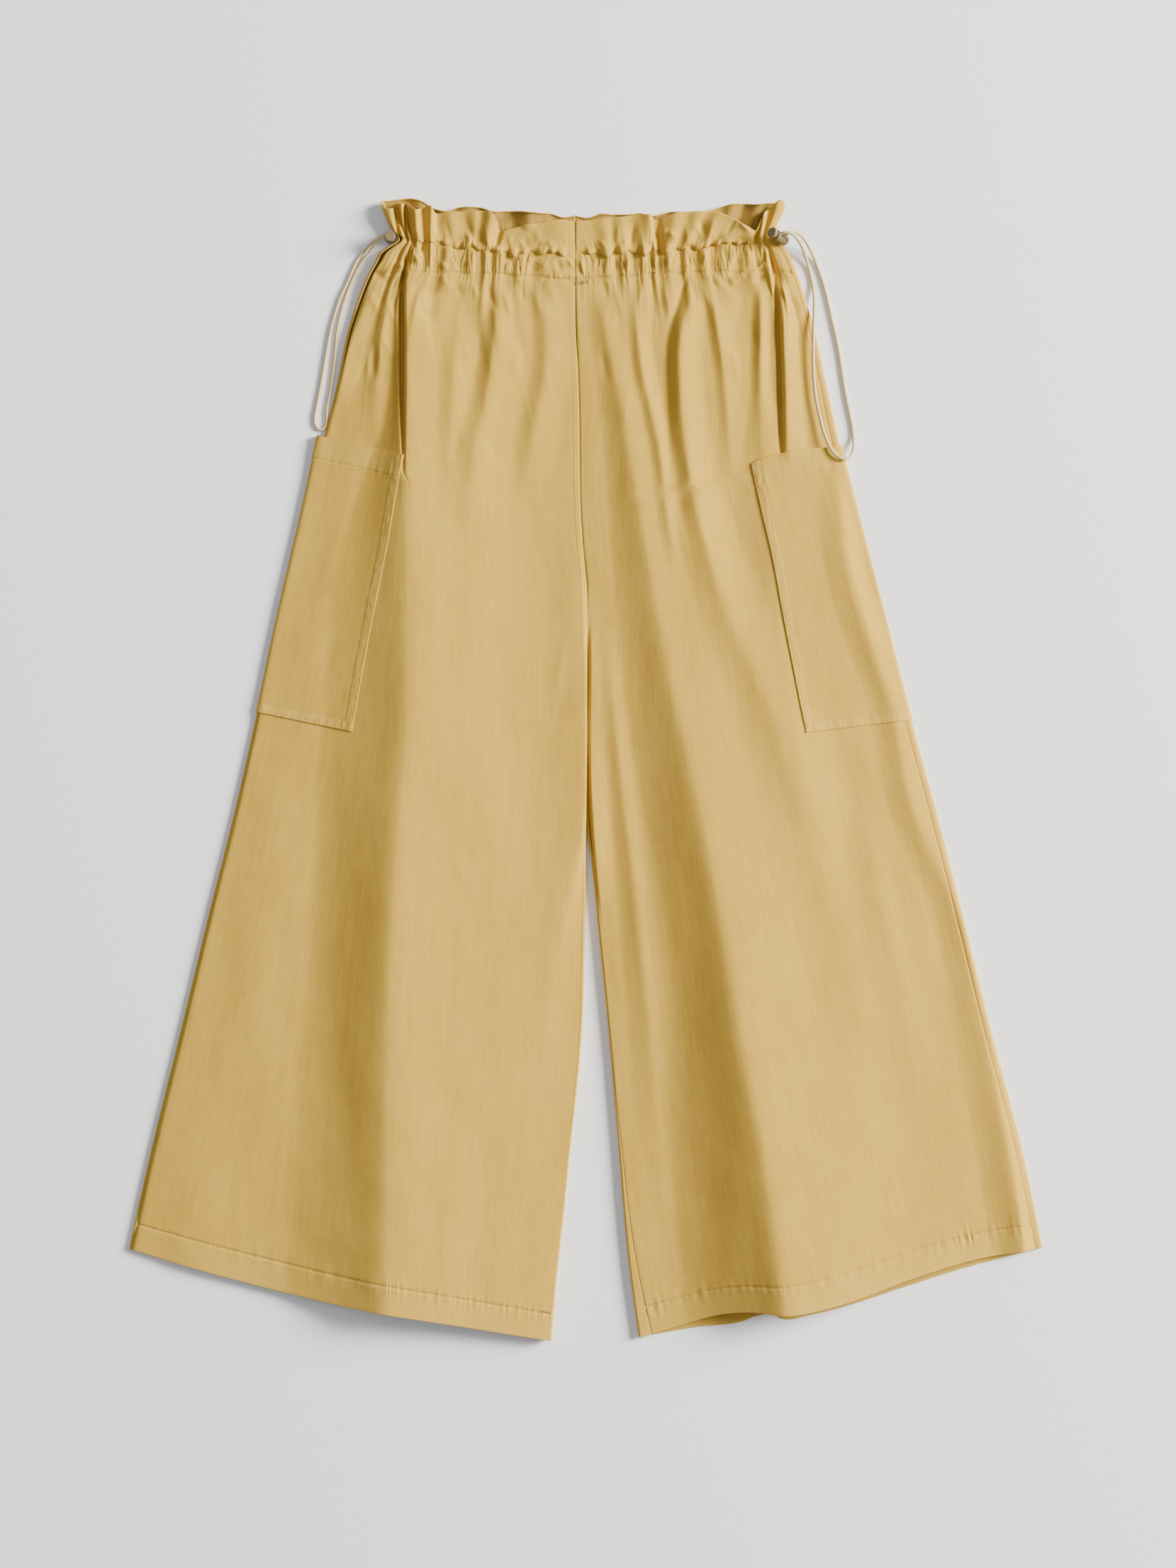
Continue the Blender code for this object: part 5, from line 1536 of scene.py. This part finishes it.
@dataclass
class Pocket:
    """Patch pocket that wraps round the side edge of a leg, from front to back."""

    leg: Leg
    front_share: tuple = (0.290, 0.313)
    back_share: tuple = (0.250, 0.290)
    border: float = 7.2
    hem_depth: float = 18.0
    drop: float = 215.0
    gape: float = 4.6
    gape_reach: float = 22.0
    rise: float = 0.0
    mouth: float = 1.6
    lift: float = 0.85
    thickness: float = 0.40
    stitch_in: float = 1.6
    mouth_reach: float = 26.0
    turned_in: float = 0.8
    roll: int = 17
    hem_waves: tuple = (0.22, 26.0)
    bottom_waves: tuple = (0.20, 33.0)
    side_waves: tuple = (0.20, 24.0)
    # Share of painted shade in the dark line along the pocket's side edges
    edge_shade: float = 0.9
    edge_crinkle: float = 0.22
    hem_crinkle: float = 0.18

    def edge_steps(self) -> Array:
        """Distances from an edge, close together at its two stitch rows."""
        return np.array((0.0, 0.2, 0.5, 0.9, 1.25, 1.6, 1.95, 2.4, 3.2, 4.2, 5.2, 6.0, 6.5,
                         6.85, 7.2, 7.55, 7.9, 8.6, 10.0, 12.0))

    def base(self, up: Array) -> Array:
        """Points of the leg under the pocket, by distance from the leg's side edge.

        Args:
            up: Height of each row, from 0 at the bottom to 1 at the top.

        Returns:
            Points, rows by columns by 3.
        """
        leg = self.leg
        level = (POCKET_BOTTOM + up)[:, None]
        width = leg.ends(level)[2]
        edge = self.edge_steps()
        middle = np.linspace(0.0, 1.0, 26)[1:]
        turn = np.linspace(math.pi / 2, -math.pi / 2, self.roll)[1:]
        flats = []
        for low, high in (self.front_share, self.back_share):
            flat = width * (low + (high - low) * up[:, None])
            inner = flat - edge[-1]
            part = np.concatenate((flat - edge, inner + (leg.edge_reach - inner) * middle), axis=1)
            flats.append(part)
        roll = np.repeat(leg.edge_reach * (1.0 - np.cos(turn))[None, :], len(up), axis=0)
        distance = np.concatenate((flats[0], roll, flats[1][:, -2::-1]), axis=1)
        over = np.concatenate((np.ones(flats[0].shape[1]), np.sign(np.round(turn, 6)),
                               -np.ones(flats[1].shape[1] - 1)))
        points = leg.wrap(level, distance, over[None, :])
        gape = self.gape * up[:, None] ** 2 * np.clip(1.0 - distance / self.gape_reach, 0.0, 1.0)
        points[..., 0] -= leg.inward * gape
        across = np.clip(1.0 - distance / flats[0][:, :1], 0.0, 1.0)
        bulge = self.rise * up[:, None] ** 3 * np.sin(np.pi * across ** 0.75) * (over > 0.0)
        points[..., 1] += bulge
        return points

    def build(self, name: str, material: Material, nodes: Iterable[str]) \
            -> tuple[Piece, Array, Array]:
        """Make the pocket, lying on the leg and thicker along its turned edges.

        Args:
            name: Name of the piece.
            material: Its finish.
            nodes: Plain solids that it stands for.

        Returns:
            The piece, its outer points and its outward normals.
        """
        leg = self.leg
        edge, drop, hem = self.edge_steps(), self.drop, self.hem_depth
        top = np.array((0.0, 0.2, 0.5, 1.0, 2.0, 4.0, 8.0, 12.0, 15.0, 16.6, 17.4, 17.8, 18.2,
                        18.6, 19.4, 21.0))
        up = np.concatenate((edge, np.linspace(edge[-1], drop - top[-1], 80)[1:-1],
                             (drop - top)[::-1])) / drop
        base = self.base(up)
        flip = leg.side is Side.RIGHT
        outward = grid_normals(base) * (1.0 if flip else -1.0)
        run, height = run_along(base, 1), run_along(base)
        place = run / run[:, -1:]
        side = np.minimum(run, run[:, -1:] - run)
        from_top = height[-1:] - height
        rim = np.minimum(side, height)
        lift = self.lift * smoothstep(rim / 0.5)
        lift = lift + 0.12 * smoothstep((self.border + 0.8 - rim) / 1.2)
        lift = lift - 0.10 * bell(rim - self.stitch_in, 0.6) - 0.15 * bell(rim - self.border, 0.6)
        lift = lift + 0.14 * smoothstep((hem - from_top) / 1.2) - 0.2 * bell(from_top - hem, 0.8)
        upper = np.clip(outward[..., 2], 0.0, 1.0) * np.clip(side / 30.0, 0.0, 1.0)
        lift = lift + self.mouth * upper * np.exp(-from_top / self.mouth_reach)
        for (high, count), along, seed, near in (
                (self.hem_waves, place, 1.3, bell(from_top - hem + 4.0, 6.0)),
                (self.bottom_waves, place, 0.4, bell(height - 5.0, 4.0)),
                (self.side_waves, height / drop, 2.1 + leg.inward, bell(side - 4.4, 2.4))):
            lift = lift + high * uneven_wave(along, count, seed) * near
        points = base + outward * lift[..., None]
        skirt = np.array((0.0, 4.0, 9.0, 13.0, 17.0))
        rows = np.searchsorted(-from_top[:, 0], -skirt)
        turned = (points - outward * self.turned_in)[np.minimum(rows, len(points) - 1)]
        grid = np.concatenate((points, turned), axis=0)
        tall = np.concatenate((height[:, 0], height[-1, 0] + skirt))
        uv = np.stack(np.meshgrid(run[len(run) // 2] * MM, tall * MM), axis=-1)
        wear_and_painted_shade = 0.25 * smoothstep((self.border - rim) / 1.0) + 0.15 * bell(rim - 0.9, 0.5)
        wear_and_painted_shade = wear_and_painted_shade + 0.3 * smoothstep((hem - from_top) / 1.0)
        wear_and_painted_shade = wear_and_painted_shade + 0.3 * smoothstep((self.border - height) / 1.0)
        # Painted shade: a dark line within half a millimetre of the side edges
        wear_and_painted_shade = wear_and_painted_shade - self.edge_shade * smoothstep((0.5 - side) / 0.3)
        wear_and_painted_shade = wear_and_painted_shade + 0.2 * smoothstep((0.6 - height) / 0.4)
        drawn = self.edge_crinkle * smoothstep((self.border + 1.0 - rim) / 2.0)
        drawn = drawn + self.hem_crinkle * bell(from_top - hem, 3.0)
        wear_and_painted_shade, drawn = (np.concatenate((one, np.repeat(one[-1:], len(skirt), axis=0)), axis=0)
                       for one in (wear_and_painted_shade, drawn))
        item = grid_mesh(name, grid, uv, not flip, np.clip(wear_and_painted_shade, -1.0, 0.8), drawn)
        thicken(item, self.thickness)
        settle(item, material, nodes)
        return item, points, outward


@dataclass
class Stitching:
    """Rows of lockstitch, each stitch a short six-sided bead sunk at both ends."""

    pitch: float = 2.4
    length: float = 1.8
    radius: float = 0.11
    sides: int = 6

    def bead(self) -> tuple[Array, Array]:
        """One stitch along x: rings whose height is an arch.

        Returns:
            Its points and its quads.
        """
        along = np.array([-0.5, -0.36, 0.0, 0.36, 0.5])
        thick = np.array([0.55, 0.95, 1.0, 0.95, 0.55])
        rise = np.array([-1.0, 0.1, 0.45, 0.1, -1.0])
        angle = np.linspace(0, 2 * np.pi, self.sides, endpoint=False)
        ring = np.stack((np.zeros_like(angle), np.cos(angle), np.sin(angle)), axis=-1)
        rings = ring[None] * thick[:, None, None] * self.radius
        rings[..., 0] += (along * self.length)[:, None]
        rings[..., 2] += (rise * self.radius)[:, None]
        number = np.arange(len(along) * self.sides).reshape(len(along), self.sides)
        after = np.roll(number, -1, axis=1)
        quads = np.stack((number[:-1], after[:-1], after[1:], number[1:]), axis=-1)
        return rings.reshape(-1, 3), quads.reshape(-1, 4)

    def places(self, line: Array, normal: Array) -> tuple[Array, Array, Array]:
        """Even places along a line of points.

        Args:
            line: Points of the row.
            normal: Outward normals there.

        Returns:
            Centres, directions and normals of the stitches.
        """
        run = run_along(line)
        stops = np.arange(self.pitch / 2, run[-1], self.pitch)
        centre, up = read_line(run, line, stops), read_line(run, normal, stops)
        direction = read_line(run, line, stops + 0.5) - read_line(run, line, stops - 0.5)
        direction /= np.maximum(np.linalg.norm(direction, axis=1, keepdims=True), 1e-9)
        up -= direction * np.sum(up * direction, axis=1, keepdims=True)
        up /= np.maximum(np.linalg.norm(up, axis=1, keepdims=True), 1e-9)
        return centre, direction, up

    def build(self, name: str, rows: Sequence[tuple[Array, Array]],
              material: Material) -> Piece:
        """Join all the stitches of some rows into one piece.

        Args:
            name: Name of the piece.
            rows: Line and normals of each row.
            material: Finish of the thread.

        Returns:
            The piece.
        """
        shape, quads = self.bead()
        sets = [self.places(line, normal) for line, normal in rows]
        centre, direction, up = (np.concatenate([one[n] for one in sets]) for n in range(3))
        across = np.cross(up, direction)
        points = (centre[:, None] + shape[None, :, 0:1] * direction[:, None]
                  + shape[None, :, 1:2] * across[:, None] + shape[None, :, 2:3] * up[:, None])
        faces = quads[None] + (np.arange(len(centre)) * len(shape))[:, None, None]
        data = bpy.data.meshes.new(name)
        data.from_pydata((points.reshape(-1, 3) * MM).tolist(), [], faces.reshape(-1, 4).tolist())
        data.shade_smooth()
        item = bpy.data.objects.new(name, data)
        bpy.context.scene.collection.objects.link(item)
        return settle(item, material)


@dataclass
class CordLoop:
    """Elastic cord from a lock, round a loop and back into it."""

    side: Side
    radius: float = 1.25
    step: float = 1.1
    sides: int = 14

    def centre_line(self) -> Array:
        """Even points on a Catmull-Rom curve through the route's own points.

        Returns:
            Points from one end in the lock to the other.
        """
        route = np.array(CORD_ROUTES[self.side], dtype=float)
        padded = np.vstack((2 * route[0] - route[1], route, 2 * route[-1] - route[-2]))
        t = np.linspace(0.0, 1.0, 24, endpoint=False)[None, :, None]
        before, start, end, after = (padded[n:len(padded) - 3 + n, None] for n in range(4))
        spans = 0.5 * (2 * start + (end - before) * t
                       + (2 * before - 5 * start + 4 * end - after) * t ** 2
                       + (3 * start - before - 3 * end + after) * t ** 3)
        dense = np.vstack((spans.reshape(-1, 3), route[-1:]))
        run = run_along(dense)
        return read_line(run, dense, np.linspace(0.0, run[-1], int(round(run[-1] / self.step)) + 1))

    def build(self, material: Material) -> Piece:
        """Carry a ring along the centre line and close both ends.

        The ring's frame is the tangent, a side that is square to it and to a fixed
        upright, and their cross product.

        Args:
            material: Finish of the cord.

        Returns:
            The piece.
        """
        line = self.centre_line()
        tangent = np.gradient(line, axis=0)
        tangent /= np.linalg.norm(tangent, axis=1, keepdims=True)
        helper = np.array((0.12, 0.05, 1.0))
        side = np.cross(tangent, helper)
        side /= np.linalg.norm(side, axis=1, keepdims=True)
        up = np.cross(side, tangent)
        angle = np.linspace(0.0, 2 * np.pi, self.sides + 1)
        ring = (np.cos(angle)[None, :, None] * side[:, None]
                + np.sin(angle)[None, :, None] * up[:, None])
        points = line[:, None] + self.radius * ring
        caps = np.broadcast_to(line[:1, None], (1, self.sides + 1, 3))
        tail = np.broadcast_to(line[-1:, None], (1, self.sides + 1, 3))
        grid = np.concatenate((caps, points, tail), axis=0)
        run = run_along(line)
        run = np.concatenate(([0.0], run, run[-1:]))
        uv = np.stack(np.meshgrid(angle / (2 * np.pi), run * MM), axis=-1)
        item = grid_mesh(f"elastic_cord_{self.side.value}", grid, uv, True)
        merge(item, 0.00002)
        settle(item, material, [f"cord_{self.side.value}"])
        return item


def merge(item: Piece, distance: float) -> None:
    """Merge a piece's doubled points and turn its faces outwards.

    Args:
        item: The piece.
        distance: Points nearer than this become one, in metres.
    """
    work = bmesh.new()
    work.from_mesh(item.data)
    bmesh.ops.remove_doubles(work, verts=work.verts, dist=distance)
    bmesh.ops.recalc_face_normals(work, faces=work.faces)
    work.to_mesh(item.data)
    work.free()


@dataclass
class CordLock:
    """Barrel and plunger button of one cord lock."""

    side: Side

    def build(self, material: Material) -> None:
        """Keep the two solids and give them the moulded finish.

        Args:
            material: Finish of the plastic.
        """
        for part in ("barrel", "button"):
            item = bpy.data.objects[f"lock_{part}_{self.side.value}"]
            item.data.materials.clear()
            item.data.materials.append(material)
            LOG.info("%s: dressed", item.name)


@dataclass
class Studio:
    """Camera straight above, soft light from the right, and a pale floor."""

    height: float = 3.2
    view: tuple = (0.91245, 1.2166)
    centre: tuple = (0.0019, -0.0107)
    key_place: tuple = (5.1, 1.6, 2.75)
    key_size: float = 2.4
    key_power: float = 1350.0
    key_tint: tuple = (1.0, 0.985, 0.93)
    top_place: tuple = (-0.3, 0.3, 4.2)
    top_size: float = 3.0
    top_power: float = 40.0
    sky: tuple = (0.90, 0.965, 1.12, 1.0)
    sky_strength: float = 0.29
    floor_reach: float = 6.0

    def camera(self) -> None:
        """Camera that looks straight down with the waist at the top."""
        data = bpy.data.cameras.new("camera")
        data.sensor_width = 36.0
        data.lens = data.sensor_width * (self.height - 0.008) / self.view[1]
        data.clip_start, data.clip_end = 0.1, 20.0
        item = bpy.data.objects.new("camera", data)
        item.location = (*self.centre, self.height)
        bpy.context.scene.collection.objects.link(item)
        bpy.context.scene.camera = item

    def light(self, name: str, place: Sequence[float], size: float, power: float,
              colour: Sequence[float] = (1.0, 1.0, 1.0)) -> None:
        """Square area light that looks at the garment's middle.

        Args:
            name: Name of the light.
            place: Where it stands, in metres.
            size: Side of the square, in metres.
            power: Watts.
            colour: Its tint.
        """
        data = bpy.data.lights.new(name, "AREA")
        data.shape = "SQUARE"
        data.size = size
        data.energy = power
        data.color = colour
        item = bpy.data.objects.new(name, data)
        spot = np.array(place)
        axis = spot / np.linalg.norm(spot)
        tilt, turn = math.acos(axis[2]), math.atan2(axis[1], axis[0])
        item.location = place
        item.rotation_euler = (0.0, tilt, turn)
        bpy.context.scene.collection.objects.link(item)

    def build(self) -> None:
        """Put up the lights, the world and the floor."""
        self.light("key", self.key_place, self.key_size, self.key_power, self.key_tint)
        self.light("top", self.top_place, self.top_size, self.top_power)
        world = bpy.data.worlds.new("studio")
        world.use_nodes = True
        sky = world.node_tree.nodes["Background"]
        sky.inputs["Color"].default_value = self.sky
        sky.inputs["Strength"].default_value = self.sky_strength
        bpy.context.scene.world = world
        data = bpy.data.meshes.new("floor")
        reach = self.floor_reach
        data.from_pydata([(-reach, -reach, 0), (reach, -reach, 0), (reach, reach, 0),
                          (-reach, reach, 0)], [], [(0, 1, 2, 3)])
        floor = bpy.data.objects.new("floor", data)
        floor.data.materials.append(FloorFinish().material())
        bpy.context.scene.collection.objects.link(floor)


@dataclass
class Culottes:
    """The garment: four panels, two pockets, their stitches, cords and locks."""

    cotton: CottonFinish = field(default_factory=CottonFinish)
    # Inner faces: a darker copy of the cotton, painted shade where the inside shows in the back
    # frill and back hem
    reverse: CottonFinish = CottonFinish(
        "cotton_reverse_painted_shade", (0.395, 0.232, 0.038, 1.0), (0.325, 0.188, 0.029, 1.0),
        (0.460, 0.285, 0.062, 1.0))
    thread: ThreadFinish = field(default_factory=ThreadFinish)
    row_samples: int = 700
    tack_samples: int = 60
    hem_lift: float = 0.12
    tack_lift: float = 0.3

    def level_line(self, leg: Leg, level: float, start: float, stop: float,
                   samples: int) -> tuple[Array, Array]:
        """Line along a level of a front, between two column places.

        Args:
            leg: The leg.
            level: Level of the line.
            start: Column place where it starts.
            stop: Column place where it stops.
            samples: Number of points.

        Returns:
            Line and outward normals.
        """
        place, value = np.meshgrid(np.linspace(start, stop, samples), level + LEVEL_STEP)
        points = leg.front_point(place, value)
        return points[1], grid_normals(points)[1] * leg.inward

    def hardware(self) -> None:
        """Cord loops and cord locks."""
        cord = CordFinish().material()
        plastic = LockFinish().material()
        for side in Side:
            CordLoop(side).build(cord)
            CordLock(side).build(plastic)

    def front_rows(self, leg: Leg) -> list[tuple[Array, Array]]:
        """Rows of stitches on a front: casing and the frill's edge, then the hem.

        Args:
            leg: The leg.

        Returns:
            Line and outward normals of each row.
        """
        rows = [self.level_line(leg, level, 0.004, 0.996, self.row_samples)
                for level in STITCH_LEVELS]
        line, normal = rows[-1]
        return rows[:-1] + [(line + self.hem_lift * normal, normal)]

    def tack_rows(self, leg: Leg) -> list[tuple[Array, Array]]:
        """Short dense rows: a tack under the casing, and one where the hem's row ends.

        Args:
            leg: The leg.

        Returns:
            Line and outward normals of each row.
        """
        plans = [(level, 0.955, 0.990) for level in (0.049, 0.0505)]
        if leg.side is Side.RIGHT:
            plans = [(level, 0.979, 0.998) for level in np.linspace(2.974, 2.990, 7)] + plans
        lines = [self.level_line(leg, *plan, self.tack_samples) for plan in plans]
        return [(line + self.tack_lift * normal, normal) for line, normal in lines]

    def back_rows(self, leg: Leg, panel: Panel) -> list[tuple[Array, Array]]:
        """Rows of stitches on a back: hem, casing and the frill's edge.

        Args:
            leg: The leg.
            panel: Its back panel.

        Returns:
            Line and outward normals of each row.
        """
        grids = [panel.back_grid(level + LEVEL_STEP)[0] for level in STITCH_LEVELS]
        return [(points[1, 1:-1], grid_normals(points)[1, 1:-1] * -leg.inward)
                for points in grids]

    def pocket_rows(self, points: Array, outward: Array, pocket: Pocket) \
            -> list[tuple[Array, Array]]:
        """Rows of stitches on a pocket: two along its edges, one along its hem.

        Args:
            points: Its outer points.
            outward: Its outward normals.
            pocket: The pocket.

        Returns:
            Line and outward normals of each row.
        """
        run, height = run_along(points, 1), run_along(points)
        across = (np.swapaxes(points, 0, 1), np.swapaxes(outward, 0, 1))
        rows = []

        def upright(inset: float, from_end: bool) -> tuple[Array, Array]:
            """Line at a distance from one side edge, from that height up to the top.

            Args:
                inset: Distance from the edge.
                from_end: True for the edge at the end of the run.

            Returns:
                Line and outward normals.
            """
            stop = run[:, -1] - inset if from_end else np.full(len(run), inset)
            keep = height[:, 0] >= inset
            return tuple(read_along(run, stop, grid)[keep] for grid in (points, outward))

        def level(inset: float, start: float, stop: float) -> tuple[Array, Array]:
            """Line at a height above the bottom edge, between two places across.

            Args:
                inset: Height above the edge.
                start: Run where it starts.
                stop: Run where it stops.

            Returns:
                Line and outward normals.
            """
            keep = (run[0] >= start) & (run[0] <= stop)
            place = np.full(run.shape[1], inset)
            return tuple(read_along(height.T, place, grid)[keep] for grid in across)

        whole = float(run[0, -1])
        for inset in (pocket.stitch_in, pocket.border):
            rows.append(upright(inset, False))
            rows.append(upright(inset, True))
            rows.append(level(inset, inset, whole - inset))
        rows.append(level(float(height[-1, 0]) - pocket.hem_depth, 1.0, whole - 1.0))
        return rows

    def build(self) -> None:
        """Make all the pieces."""
        cotton, reverse = self.cotton.material(), self.reverse.material()
        thread = self.thread.material()
        shapes = {
            Side.LEFT: dict(front_share=(0.290, 0.313), gape=4.6),
            Side.RIGHT: dict(front_share=(0.323, 0.345), gape=0.5, rise=4.0, mouth=2.4),
        }
        for side in Side:
            leg = Leg(side)
            front, back = Panel(leg, Layer.FRONT, 205), Panel(leg, Layer.BACK, 90)
            front.build(f"front_cloth_{side.value}", cotton, reverse, [f"front_{side.value}"],
                        flat=(0.36, 0.93), area=0.30)
            back.build(f"back_cloth_{side.value}", cotton, reverse, [f"back_{side.value}"],
                       flat=(0.38, 0.93), area=0.31)
            front_rows, back_rows = self.front_rows(leg), self.back_rows(leg, back)
            pocket = Pocket(leg, **shapes[side])
            _, points, outward = pocket.build(
                f"pocket_cloth_{side.value}", cotton, [f"pocket_{side.value}"])
            fine = front_rows[:-1] + back_rows[:-1] + self.pocket_rows(points, outward, pocket)
            Stitching().build(f"topstitches_{side.value}", fine, thread)
            hem = Stitching(pitch=3.0, length=2.2, radius=0.17)
            hem.build(f"hem_stitches_{side.value}", [front_rows[-1], back_rows[-1]], thread)
            tack = Stitching(pitch=1.5, length=1.45, radius=0.17)
            tack.build(f"tacks_{side.value}", self.tack_rows(leg), thread)


def main() -> None:
    """Build the studio and the garment, and log the face count of each piece."""
    logging.basicConfig(level=logging.INFO, format="%(name)s: %(message)s")
    studio = Studio()
    studio.camera()
    culottes = Culottes()
    culottes.hardware()
    culottes.build()
    studio.build()
    bpy.context.view_layer.update()


if __name__ == "__main__":
    main()
